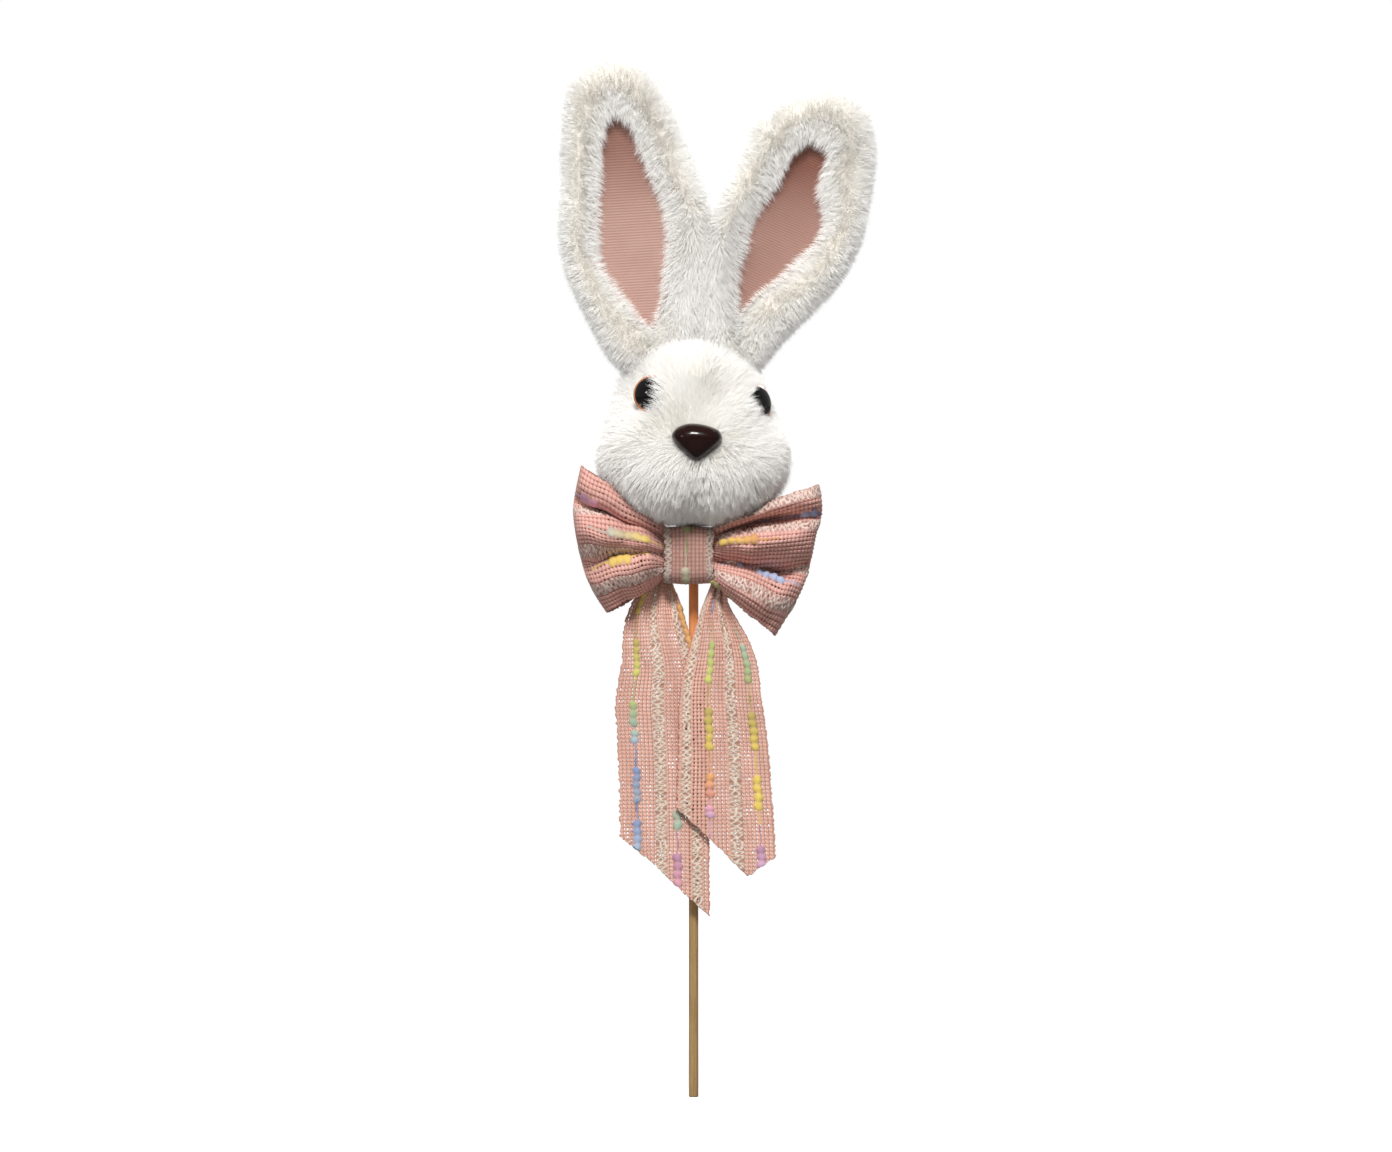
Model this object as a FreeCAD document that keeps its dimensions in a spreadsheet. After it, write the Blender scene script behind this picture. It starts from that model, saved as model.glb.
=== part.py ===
import FreeCAD, Part
import math
import os

import Sketcher
from FreeCAD import Matrix, Placement, Rotation, Vector

# Rabbit head on a wooden stick with a ribbon bow at its neck.  Millimetres.
# The origin is the centre of the stick's lower end, +Z runs up the stick and
# the face looks along -Y.

SIZES = [
    # the stick and what fixes the head and bow to it
    ("chin_height", 239.6),
    ("stick_burial", 56.4),
    ("stick_radius", 2.0),
    ("stick_chamfer", 0.3),
    ("notch_width", 1.6),
    ("notch_depth", 0.25),
    ("bow_wire_radius", 0.6),
    ("glue_height", 4.0),
    ("glue_radius", 4.6),
    ("thread_radius", 0.5),
    # the head: a wide cheek ring, a crown ball and the cone between them
    ("cheek_radius", 27.4),
    ("cheek_offset", 15.0),
    ("crown_rise", 49.4),
    ("crown_radius", 31.0),
    ("cover_thickness", 8.0),
    ("neck_radius", 6.0),
    # eyes, nose and their washers
    ("eye_radius", 8.0),
    ("eye_dome", 5.5),
    ("eye_flange", 1.3),
    ("pupil_radius", 6.9),
    ("pupil_thickness", 1.0),
    ("iris_thickness", 1.0),
    ("iris_inset", 0.5),
    ("disc_gap", 0.02),
    ("eye_sink", 5.0),
    ("eye_lift", 10.0),
    ("left_eye_turn", -38.0),
    ("left_eye_toe", 26.0),
    ("left_eye_rise", 53.6),
    ("right_eye_turn", 60.0),
    ("right_eye_toe", -20.0),
    ("right_eye_rise", 50.2),
    ("stem_radius", 1.8),
    ("stem_length", 8.5),
    ("washer_radius", 6.0),
    ("washer_thickness", 1.2),
    ("grip_thickness", 3.2),
    ("nose_width", 20.5),
    ("nose_depth", 15.5),
    ("nose_thickness", 6.5),
    ("nose_corner", 3.4),
    ("nose_front_round", 2.6),
    ("nose_sink", 4.4),
    ("nose_turn", 2.0),
    ("nose_rise", 33.8),
    # the ears, which bend at their sewn foot
    ("ear_sink", 1.0),
    ("ear_thickness", 15.0),
    ("ear_edge_flat", 2.2),
    ("ear_outer_belly", 0.55),
    ("ear_inner_belly", 0.635),
    ("ear_half_width", 30.2),
    ("ear_tip_radius", 24.0),
    ("left_ear_place", -18.0),
    ("left_ear_lean", -9.1),
    ("left_ear_length", 111.5),
    ("right_ear_place", 21.0),
    ("right_ear_lean", 19.7),
    ("right_ear_length", 104.0),
    ("ear_forward", 60.0),
    ("ear_backward", 30.0),
    ("lining_depth", 6.0),
    ("lining_thickness", 0.8),
    ("lining_foot", 4.0),
    ("lining_belly", 0.55),
    ("lining_half", 15.5),
    ("lining_tip_radius", 10.0),
    ("lining_margin", 21.0),
    ("ear_wire_radius", 0.8),
    ("ear_wire_half", 9.0),
    ("ear_wire_foot", 2.0),
    ("ear_wire_margin", 3.0),
    ("ear_leg_length", 24.0),
    ("ear_leg_inset", 3.5),
    # the bow
    ("knot_left", -13.0),
    ("knot_width", 22.0),
    ("knot_gap", 1.6),
    ("knot_rise", 23.0),
    ("knot_thickness", 13.0),
    ("knot_round", 5.0),
    ("band_wall", 1.2),
    ("waist_rise", 15.0),
    ("waist_thickness", 6.6),
    ("loop_knot_half", 4.0),
    ("loop_radius", 11.0),
    ("loop_wall", 1.0),
    ("left_loop_reach", 49.2),
    ("left_loop_rise", 36.8),
    ("left_loop_drop", 24.2),
    ("right_loop_reach", 52.7),
    ("right_loop_rise", 30.0),
    ("right_loop_drop", 33.5),
    ("loop_lap", 1.0),
    ("loop_neck_reach", 22.0),
    ("loop_neck_drop", 13.0),
    ("loop_neck_rise", 14.0),
    ("loop_corner_inset", 18.0),
    ("loop_corner_width", 5.0),
    ("loop_corner_rise", 0.5),
    ("loop_side_low", 27.0),
    ("loop_side_high", 42.0),
    ("loop_bulge", 1.0),
    ("loop_top_inset", 3.0),
    ("loop_top_width", 9.0),
    ("loop_top_sag", 7.0),
    # the tails, which swing from one line under the knot
    ("hinge_radius", 1.2),
    ("hinge_setback", 6.0),
    ("tail_thickness", 1.4),
    ("tail_width", 38.0),
    ("tail_bend_drop", 24.0),
    ("left_tail_edge", -31.4),
    ("left_tail_short", 106.5),
    ("left_tail_long", 138.1),
    ("left_tail_front", 7.5),
    ("left_tail_root_out", 3.0),
    ("left_tail_root_in", 4.0),
    ("left_tail_flare", 6.0),
    ("left_tail_flare_drop", 22.0),
    ("left_tail_full_drop", 42.0),
    ("left_tail_side_drop", 55.0),
    ("left_tail_shoulder", 2.4),
    ("left_tail_shoulder_drop", 26.0),
    ("left_tail_neck", 3.4),
    ("left_tail_neck_drop", 13.0),
    ("right_tail_edge", -8.2),
    ("right_tail_short", 93.0),
    ("right_tail_long", 121.3),
    ("right_tail_corner", 112.7),
    ("right_tail_front", 9.6),
    ("right_tail_root_in", 5.0),
    ("right_tail_root_out", 3.0),
    ("right_tail_flare", 8.0),
    ("right_tail_flare_drop", 20.0),
    ("right_tail_full_drop", 46.0),
    ("right_tail_spread", 5.0),
    ("right_tail_point", 30.5),
    ("right_tail_side_drop", 47.0),
    ("right_tail_neck", 6.0),
    ("right_tail_neck_drop", 24.0),
    # clearances
    ("snug", 0.05),
    ("seat_gap", 0.3),
]

doc = FreeCAD.newDocument("RabbitPick")
sheet = doc.addObject("Spreadsheet::Sheet", "Sizes")
for row, (alias, value) in enumerate(SIZES, start=1):
    sheet.set("A%d" % row, alias)
    sheet.set("B%d" % row, repr(value))
    sheet.setAlias("B%d" % row, alias)
doc.recompute()

NODES = []
X, Y, Z = Vector(1, 0, 0), Vector(0, 1, 0), Vector(0, 0, 1)
BIG = 400.0


def size(alias):
    """The number in one cell of the sheet."""
    return float(sheet.get(alias))


def value(expression):
    """What an expression on the sheet comes to."""
    return float(sheet.evalExpression(expression))


STICK_TOP = "(Sizes.chin_height + Sizes.stick_burial)"
KNOT_BOTTOM = "(Sizes.chin_height - Sizes.knot_gap - Sizes.knot_rise)"
KNOT_TOP = "(Sizes.chin_height - Sizes.knot_gap)"
NOTCH = "(Sizes.chin_height - Sizes.knot_gap - Sizes.knot_rise / 2)"
SETBACK = "(Sizes.stick_radius + 2 * Sizes.bow_wire_radius + Sizes.snug + Sizes.seat_gap)"
CROWN_Z = value("Sizes.chin_height + Sizes.crown_rise")
HINGE_Z = CROWN_Z + size("crown_radius") - size("ear_sink")
FOOT_RADIUS = size("ear_thickness") / 2
LEG_TOP = HINGE_Z - FOOT_RADIUS - size("seat_gap")


def node(piece, label):
    """Mark an object of the document as one piece of the product."""
    piece.Label = label
    NODES.append(piece)
    return piece


def bind(piece, **expressions):
    """Bind properties to the sheet; a double underscore stands for a dot."""
    for path, expression in expressions.items():
        piece.setExpression(path.replace("__", "."), expression)
    return piece


def cylinder(name, radius, length, bottom=None):
    """A Part cylinder along Z with its radius, length and height bound."""
    piece = doc.addObject("Part::Cylinder", name)
    bind(piece, Radius=radius, Height=length)
    if bottom:
        bind(piece, Placement__Base__z=bottom)
    return piece


def cut(name, base, tool):
    piece = doc.addObject("Part::Cut", name)
    piece.Base = base
    piece.Tool = tool
    return piece


def fuse(name, *shapes):
    piece = doc.addObject("Part::MultiFuse", name)
    piece.Shapes = list(shapes)
    return piece


def feature(name, shape):
    """A shape that neither a body nor a primitive gives."""
    piece = doc.addObject("Part::Feature", name)
    piece.Shape = shape
    return piece


def plane_of(body, role):
    return [f for f in body.Origin.OriginFeatures if f.Role == role][0]


def sketch_on(body, role, name):
    sketch = body.newObject("Sketcher::SketchObject", name)
    sketch.AttachmentSupport = [(plane_of(body, role), "")]
    sketch.MapMode = "FlatFace"
    return sketch


def polygon(sketch, corners):
    """A closed polygon whose corners are pairs of expressions."""
    doc.recompute()
    guess = [Vector(sketch.evalExpression(x), sketch.evalExpression(y), 0) for x, y in corners]
    count, first = len(corners), sketch.GeometryCount
    for i in range(count):
        sketch.addGeometry(Part.LineSegment(guess[i], guess[(i + 1) % count]), False)
    for i in range(count):
        sketch.addConstraint(Sketcher.Constraint("Coincident", first + i, 2, first + (i + 1) % count, 1))
    for i, (x, y) in enumerate(corners):
        for kind, axis, text, at in (("DistanceX", -2, x, guess[i].x), ("DistanceY", -1, y, guess[i].y)):
            if text == "0":
                sketch.addConstraint(Sketcher.Constraint("PointOnObject", first + i, 1, axis))
            else:
                index = sketch.addConstraint(Sketcher.Constraint(kind, -1, 1, first + i, 1, at))
                sketch.setExpression("Constraints[%d]" % index, text)


def circle(sketch, radius):
    """A circle about the sketch's own origin with its radius bound."""
    index = sketch.addGeometry(Part.Circle(Vector(), Z, 1.0), False)
    sketch.addConstraint(Sketcher.Constraint("Coincident", index, 3, -1, 1))
    number = sketch.addConstraint(Sketcher.Constraint("Radius", index, 1.0))
    sketch.setExpression("Constraints[%d]" % number, radius)


def pad(body, sketch, length, name):
    step = body.newObject("PartDesign::Pad", name)
    step.Profile = sketch
    bind(step, Length=length)
    sketch.Visibility = False
    return step


def edges_along(shape, direction):
    """Names of the straight edges that run along one direction."""
    found = []
    for number, edge in enumerate(shape.Edges, start=1):
        line = edge.Curve
        if isinstance(line, Part.Line) and abs(line.Direction.dot(direction)) > 0.999:
            found.append("Edge%d" % number)
    return found


# The stick: a birch dowel, turned round, with a shallow notch that the bow's
# wire bites into and a small chamfer at each cut end.

stick = doc.addObject("PartDesign::Body", "Stick")
half = sketch_on(stick, "XZ_Plane", "StickHalf")
edge, full = "Sizes.stick_radius - Sizes.stick_chamfer", "Sizes.stick_radius"
notch = "Sizes.stick_radius - Sizes.notch_depth"
low, high = NOTCH + " - Sizes.notch_width / 2", NOTCH + " + Sizes.notch_width / 2"
polygon(half, [
    ("0", "0"),
    (edge, "0"),
    (full, "Sizes.stick_chamfer"),
    (full, low),
    (notch, low),
    (notch, high),
    (full, high),
    (full, STICK_TOP + " - Sizes.stick_chamfer"),
    (edge, STICK_TOP),
    ("0", STICK_TOP),
])
turned = stick.newObject("PartDesign::Revolution", "StickTurned")
turned.Profile = half
turned.ReferenceAxis = (half, ["V_Axis"])
turned.Angle = 360
node(stick, "stick")

# The bow's wire: one turn in the stick's notch and one turn round the pinched
# waist of the ribbon, twisted together where they meet.

knot_middle = -value(SETBACK + " + Sizes.knot_thickness / 2")
knot_centre = Vector(0, knot_middle, value(NOTCH))
wire_thick = size("bow_wire_radius")


def racetrack(half_straight, radius, thick, frame):
    """A closed wire of round section: two straights joined by half turns."""
    a, r = half_straight, radius
    turns = [
        Part.LineSegment(Vector(-a, -r, 0), Vector(a, -r, 0)),
        Part.Arc(Vector(a, -r, 0), Vector(a + r, 0, 0), Vector(a, r, 0)),
        Part.LineSegment(Vector(a, r, 0), Vector(-a, r, 0)),
        Part.Arc(Vector(-a, r, 0), Vector(-a - r, 0, 0), Vector(-a, -r, 0)),
    ]
    spine = Part.Wire([t.toShape() for t in turns])
    section = Part.Wire([Part.Circle(Vector(0, -r, 0), X, thick).toShape()])
    shape = spine.makePipeShell([section], True, False)
    solid = shape if shape.ShapeType == "Solid" else Part.Solid(shape)
    solid.Placement = frame
    return solid


stick_turn = Part.makeTorus(size("stick_radius") - size("notch_depth") + size("snug") + wire_thick,
                            wire_thick, Vector(0, 0, knot_centre.z), Z)
waist_half = size("waist_thickness") / 2
turn_radius = waist_half + size("snug") + wire_thick
waist_straight = (size("waist_rise") - size("waist_thickness")) / 2
waist_turn = racetrack(waist_straight, turn_radius, wire_thick,
                       Placement(knot_centre, Rotation(Z, Y, X, "ZXY")))
reach_back = -knot_middle - turn_radius
twist = Part.makeCylinder(wire_thick, reach_back - size("stick_radius") - wire_thick,
                          Vector(0, knot_middle + turn_radius, knot_centre.z), Y)
bow_wire = stick_turn.fuse([waist_turn, twist]).removeSplitter()
node(feature("BowWire", bow_wire), "bow_wire")

# The head's outline: everything in the head is turned from this half section,
# moved in or out by an offset.


def head_section(offset):
    """Half section of the head as a face, its surface moved by offset."""
    cheek = Vector(size("cheek_offset"), 0, size("chin_height") + size("cheek_radius"))
    crown = Vector(0, 0, CROWN_Z)
    apart = crown - cheek
    lean = (size("cheek_radius") - size("crown_radius")) / apart.Length
    along = Vector(apart).normalize()
    across = Vector(along.z, 0, -along.x)
    normal = across * math.sqrt(1 - lean * lean) + along * lean
    r_cheek, r_crown = size("cheek_radius") + offset, size("crown_radius") + offset
    join_low, join_high = cheek + normal * r_cheek, crown + normal * r_crown
    bottom = cheek - Z * r_cheek
    part_way = math.radians(27)
    side = cheek + Vector(math.cos(part_way), 0, -math.sin(part_way)) * r_cheek
    over = crown + Vector(math.sin(part_way), 0, math.cos(part_way)) * r_crown
    foot, top = Vector(0, 0, bottom.z), crown + Z * r_crown
    edges = [
        Part.LineSegment(foot, bottom).toShape(),
        Part.Arc(bottom, side, join_low).toShape(),
        Part.LineSegment(join_low, join_high).toShape(),
        Part.Arc(join_high, over, top).toShape(),
        Part.LineSegment(top, foot).toShape(),
    ]
    return Part.Face(Part.Wire(edges))


def head_solid(offset):
    return head_section(offset).revolve(Vector(), Z, 360)


def half_space(sign):
    """A block on one side of the plane through the ears."""
    return Part.makeBox(BIG, BIG, BIG, Vector(-BIG / 2, 0 if sign > 0 else -BIG, 0))


# Places of what pierces the head, each with its axis pointing out of it.


def outward(rise, turn, sink, lift=0.0, toe=0.0):
    """A frame sunk below the head's surface, its z axis pointing out of it,
    tipped up by lift and swung towards the face's middle by toe."""
    height = size("chin_height") + rise
    ray = Part.makeLine(Vector(0, 0, height), Vector(BIG, 0, height))
    surface = head_section(0).common(ray).BoundBox.XMax
    swing = Placement(Vector(0, 0, height), Rotation(Z, turn))
    facing = Rotation(Z, toe).multiply(Rotation(X, 90 - lift))
    return swing * Placement(Vector(0, sink - surface, 0), facing)


EYES = {}
for hand in ("left", "right"):
    EYES[hand] = outward(size(hand + "_eye_rise"), size(hand + "_eye_turn"), size("eye_sink"),
                         size("eye_lift"), size(hand + "_eye_toe"))
NOSE = outward(size("nose_rise"), size("nose_turn"), size("nose_sink"))


def placed(shape, frame):
    moved = shape.copy()
    moved.Placement = frame.multiply(shape.Placement)
    return moved


def rounded(corners, radius):
    """A closed wire through flat corners, each rounded by one arc."""
    count = len(corners)
    edges, joins = [], []
    for i, corner in enumerate(corners):
        before, after = corners[i - 1] - corner, corners[(i + 1) % count] - corner
        angle = before.getAngle(after)
        reach = radius / math.tan(angle / 2)
        middle = (Vector(before).normalize() + Vector(after).normalize()).normalize()
        start = corner + Vector(before).normalize() * reach
        end = corner + Vector(after).normalize() * reach
        crest = corner + middle * (radius / math.sin(angle / 2) - radius)
        joins.append((start, crest, end))
    for i, (start, crest, end) in enumerate(joins):
        edges.append(Part.Arc(start, crest, end).toShape())
        edges.append(Part.LineSegment(end, joins[(i + 1) % count][0]).toShape())
    return Part.Wire(edges)


def nose_outline(grow):
    """The nose's rounded triangle, point down, about its own middle."""
    wide, tall, soft = size("nose_width") / 2, size("nose_depth") / 2, size("nose_corner")
    slope = math.atan2(2 * tall, wide) / 2
    spread = soft * (1 / math.tan(slope) - 1)
    drop = soft * (1 / math.cos(2 * slope) - 1)
    corners = [Vector(-wide - spread, tall, 0), Vector(0, -tall - drop, 0),
               Vector(wide + spread, tall, 0)]
    outline = rounded(corners, size("nose_corner"))
    return outline.makeOffset2D(grow) if grow else outline


DEEP = 30.0
LAP = 1.0


def fixing_holes(frame, outer, stem_reach):
    """Pocket for what shows, hole for its stem, and seat for its washer."""
    grip = size("grip_thickness")
    stem = Part.makeCylinder(size("stem_radius") + size("snug"), stem_reach + size("seat_gap"),
                             Vector(0, 0, -stem_reach - size("seat_gap")))
    washer = Part.makeCylinder(size("washer_radius") + size("seat_gap"), stem_reach - grip + size("seat_gap"),
                               Vector(0, 0, -stem_reach - size("seat_gap")))
    return [placed(s, frame) for s in (outer, stem, washer)]


eye_pocket = Part.makeCylinder(size("eye_radius") + size("seat_gap"), DEEP)
nose_pocket = Part.Face(nose_outline(size("seat_gap"))).extrude(Z * DEEP)
PIERCINGS = []
for hand in ("left", "right"):
    PIERCINGS += fixing_holes(EYES[hand], eye_pocket, size("stem_length"))
PIERCINGS += fixing_holes(NOSE, nose_pocket, size("stem_length"))

# Room for the ears: a round saddle for each foot, relief for their swing, and
# a hole for the wire's leg.


def side_arc(half, belly, middle, tip):
    """Centre and radius of the arc that is widest at belly and meets the tip."""
    drop = middle - belly
    radius = (half * half + drop * drop - tip * tip) / (2 * (half - tip))
    return Vector(half - radius, belly, 0), radius


def half_width_at(height, half, belly, middle, tip):
    centre, radius = side_arc(half, belly, middle, tip)
    return centre.x + math.sqrt(radius * radius - (height - centre.y) ** 2)


def leaf(foot, top, half, tip, bellies):
    """A leaf outline: a straight foot, a long arc up each side, a round tip."""
    middle = top - tip
    joins, mids, feet = [], [], []
    for side, share in zip((-1, 1), bellies):
        centre, radius = side_arc(half, share * middle, middle, tip)
        aim = Vector(0, middle, 0) - centre
        meet = centre + Vector(aim).normalize() * radius
        joins.append(Vector(side * meet.x, meet.y, 0))
        mids.append(Vector(side * half, share * middle, 0))
        feet.append(Vector(side * half_width_at(foot, half, share * middle, middle, tip), foot, 0))
    return Part.Wire([
        Part.LineSegment(feet[0], feet[1]).toShape(),
        Part.Arc(feet[1], mids[1], joins[1]).toShape(),
        Part.Arc(joins[1], Vector(0, top, 0), joins[0]).toShape(),
        Part.Arc(joins[0], mids[0], feet[0]).toShape(),
    ])


def ear_bellies(hand):
    outer, inner = size("ear_outer_belly"), size("ear_inner_belly")
    return (outer, inner) if hand == "left" else (inner, outer)


def foot_span(hand):
    """The ends of an ear's foot along X."""
    middle = size(hand + "_ear_length") - size("ear_tip_radius")
    widths = [half_width_at(0, size("ear_half_width"), share * middle, middle, size("ear_tip_radius"))
              for share in ear_bellies(hand)]
    place = size(hand + "_ear_place")
    return place - widths[0], place + widths[1]


def swing_relief():
    """The wedge over the crown that the ears' faces sweep."""
    away = size("ear_thickness") / 2 + size("seat_gap")
    rim = []
    for turn, side in ((size("ear_forward"), -1), (size("ear_backward"), 1)):
        a = math.radians(turn)
        face = Vector(0, side * math.cos(a), -math.sin(a)) * away
        along = Vector(0, side * math.sin(a), math.cos(a))
        start = Vector(0, 0, HINGE_Z) + face
        rim.append((start, start + along * DEEP * 2))
    (front, front_far), (back, back_far) = rim
    points = [front, front_far, back_far, back, front]
    face = Part.Face(Part.makePolygon(points))
    face.translate(Vector(-BIG / 2, 0, 0))
    return face.extrude(X * BIG)


EAR_ROOM = [swing_relief()]
for hand in ("left", "right"):
    start, end = foot_span(hand)
    room = size("seat_gap")
    EAR_ROOM.append(Part.makeCylinder(FOOT_RADIUS + room, end - start + 2 * room,
                                      Vector(start - room, 0, HINGE_Z), X))


def leg_place(hand):
    """The wire's leg stands a little nearer the middle than its ear."""
    place = size(hand + "_ear_place")
    return place - math.copysign(size("ear_leg_inset"), place)


LEG_HOLES = []
for hand in ("left", "right"):
    LEG_HOLES.append(Part.makeCylinder(
        size("ear_wire_radius") + size("snug"), size("ear_leg_length") + size("seat_gap"),
        Vector(leg_place(hand), 0, LEG_TOP - size("ear_leg_length") - size("seat_gap"))))

# The head cover: long-pile plush, its pile counted in the thickness, in a face
# panel and a back panel that meet in the seam that holds the ears.

neck = Part.makeCylinder(size("neck_radius"), size("cover_thickness") * 2,
                         Vector(0, 0, size("chin_height") - 2 * LAP))
shell = head_solid(0).cut(head_solid(-size("cover_thickness"))).cut([neck] + PIERCINGS + EAR_ROOM + LEG_HOLES)
for sign, label in ((-1, "face_cover"), (1, "back_cover")):
    half_shell = shell.common(half_space(sign))
    node(feature(label.title().replace("_", ""), half_shell), label)

# The stuffing: one firm wad of polyester fibre that fills the cover, bored for
# the stick and hollowed where washers, stems and wire legs sit.

stick_bore = Part.makeCylinder(size("stick_radius") + size("snug"), value(STICK_TOP) + size("seat_gap"))
glue_room = Part.makeCylinder(size("glue_radius") + size("seat_gap"), size("glue_height") + size("seat_gap"),
                              Vector(0, 0, size("chin_height")))
stuffing = head_solid(-size("cover_thickness") - size("seat_gap")).cut(
    [stick_bore, glue_room] + PIERCINGS + EAR_ROOM + LEG_HOLES)
node(feature("HeadStuffing", stuffing), "head_stuffing")

# Hot glue round the stick where it enters the neck, and the thread that
# gathers the cover's lower edge.

glue = cut("GlueBead", cylinder("GlueDisc", "Sizes.glue_radius", "Sizes.glue_height",
                                bottom="Sizes.chin_height"),
           cylinder("GlueHole", "Sizes.stick_radius + Sizes.snug", "Sizes.glue_height",
                    bottom="Sizes.chin_height"))
node(glue, "glue_bead")
thread = doc.addObject("Part::Torus", "GatheringThread")
bind(thread, Radius1="Sizes.neck_radius + Sizes.thread_radius * 2", Radius2="Sizes.thread_radius",
     Placement__Base__z="Sizes.chin_height - Sizes.thread_radius - Sizes.snug")
node(thread, "gathering_thread")

# The eyes: a clear domed lens over a black pupil disc, on an amber back whose
# stem passes through the cover into a push-on washer.

for hand in ("left", "right"):
    title = hand.title()
    frame = EYES[hand]
    iris_radius = "Sizes.eye_radius - Sizes.iris_inset"
    cap = "(Sizes.eye_dome - Sizes.eye_flange)"
    ball_radius = "(Sizes.eye_radius^2 + %s^2) / (2 * %s)" % (cap, cap)

    ball = doc.addObject("Part::Sphere", title + "LensBall")
    bind(ball, Radius=ball_radius, Placement__Base__z="Sizes.eye_dome - " + ball_radius)
    disc = cylinder(title + "LensDisc", "Sizes.eye_radius", "Sizes.eye_dome")
    dome = doc.addObject("Part::Common", title + "LensDome")
    dome.Base, dome.Tool = ball, disc
    seat = cylinder(title + "LensSeat", iris_radius + " + Sizes.snug", "Sizes.iris_thickness + Sizes.disc_gap")
    pupil_room = cylinder(title + "LensPupilRoom", "Sizes.pupil_radius + Sizes.snug",
                          "Sizes.iris_thickness + Sizes.pupil_thickness + Sizes.disc_gap")
    lens = cut(title + "EyeLens", dome, fuse(title + "LensHollow", seat, pupil_room))
    lens.Placement = frame
    node(lens, hand + "_eye_lens")

    pupil = cylinder(title + "EyePupil", "Sizes.pupil_radius", "Sizes.pupil_thickness")
    pupil.Placement = frame * Placement(Z * size("iris_thickness"), Rotation())
    node(pupil, hand + "_eye_pupil")

    back = fuse(title + "EyeBack",
                cylinder(title + "IrisDisc", iris_radius, "Sizes.iris_thickness"),
                cylinder(title + "EyeStem", "Sizes.stem_radius", "Sizes.stem_length", bottom="-Sizes.stem_length"))
    back.Placement = frame
    node(back, hand + "_eye_back")


def washer(name, frame):
    """A push-on washer: a drilled disc against the inside of the cover."""
    body = doc.addObject("PartDesign::Body", name)
    outline = sketch_on(body, "XY_Plane", name + "Outline")
    circle(outline, "Sizes.washer_radius")
    circle(outline, "Sizes.stem_radius + Sizes.snug")
    pad(body, outline, "Sizes.washer_thickness", name + "Pad")
    body.Placement = frame * Placement(Z * -(size("grip_thickness") + size("washer_thickness")), Rotation())
    return body


for hand in ("left", "right"):
    node(washer(hand.title() + "EyeWasher", EYES[hand]), hand + "_eye_washer")

# The nose: a moulded brown button with a domed front, its stem and washer.

nose_block = Part.Face(nose_outline(0)).extrude(Z * size("nose_thickness"))
front_rim = [e for e in nose_block.Edges
             if abs(e.BoundBox.ZMin - size("nose_thickness")) < 1e-6 and e.BoundBox.ZLength < 1e-6]
nose_block = nose_block.makeFillet(size("nose_front_round"), front_rim)
nose_stem = Part.makeCylinder(size("stem_radius"), size("stem_length") + LAP, Vector(0, 0, -size("stem_length")))
node(feature("Nose", placed(nose_block.fuse(nose_stem).removeSplitter(), NOSE)), "nose")
node(washer("NoseWasher", NOSE), "nose_washer")

# The ears: plush folded to the front round a wire hairpin, with a recessed
# lining of pink twill.  Each ear turns about a line along X through its foot.


def ear_frame(hand):
    """Local x across the ear, local y up its length, local z to the back."""
    lean = math.radians(size(hand + "_ear_lean"))
    across, up = Vector(math.cos(lean), 0, -math.sin(lean)), Vector(math.sin(lean), 0, math.cos(lean))
    m = Matrix(across.x, up.x, 0, size(hand + "_ear_place"),
               0, 0, -1, 0,
               across.z, up.z, 0, HINGE_Z, 0, 0, 0, 1)
    return Placement(m)


def lining_leaf(length, shrink):
    share = size("lining_belly")
    outline = leaf(size("lining_foot"), length - size("lining_margin"), size("lining_half"),
                   size("lining_tip_radius"), (share, share))
    return outline.makeOffset2D(-shrink) if shrink else outline


def hairpin(length, thick, deep, foot):
    """The ear's wire: two straight legs joined by a half turn at the top."""
    w = size("ear_wire_half")
    top = length - size("lining_margin") - size("ear_wire_margin") - w
    spine = Part.Wire([
        Part.LineSegment(Vector(-w, foot, deep), Vector(-w, top, deep)).toShape(),
        Part.Arc(Vector(-w, top, deep), Vector(0, top + w, deep), Vector(w, top, deep)).toShape(),
        Part.LineSegment(Vector(w, top, deep), Vector(w, foot, deep)).toShape(),
    ])
    section = Part.Wire([Part.Circle(Vector(-w, foot, deep), Y, thick).toShape()])
    return spine.makePipeShell([section], True, False)


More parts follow.
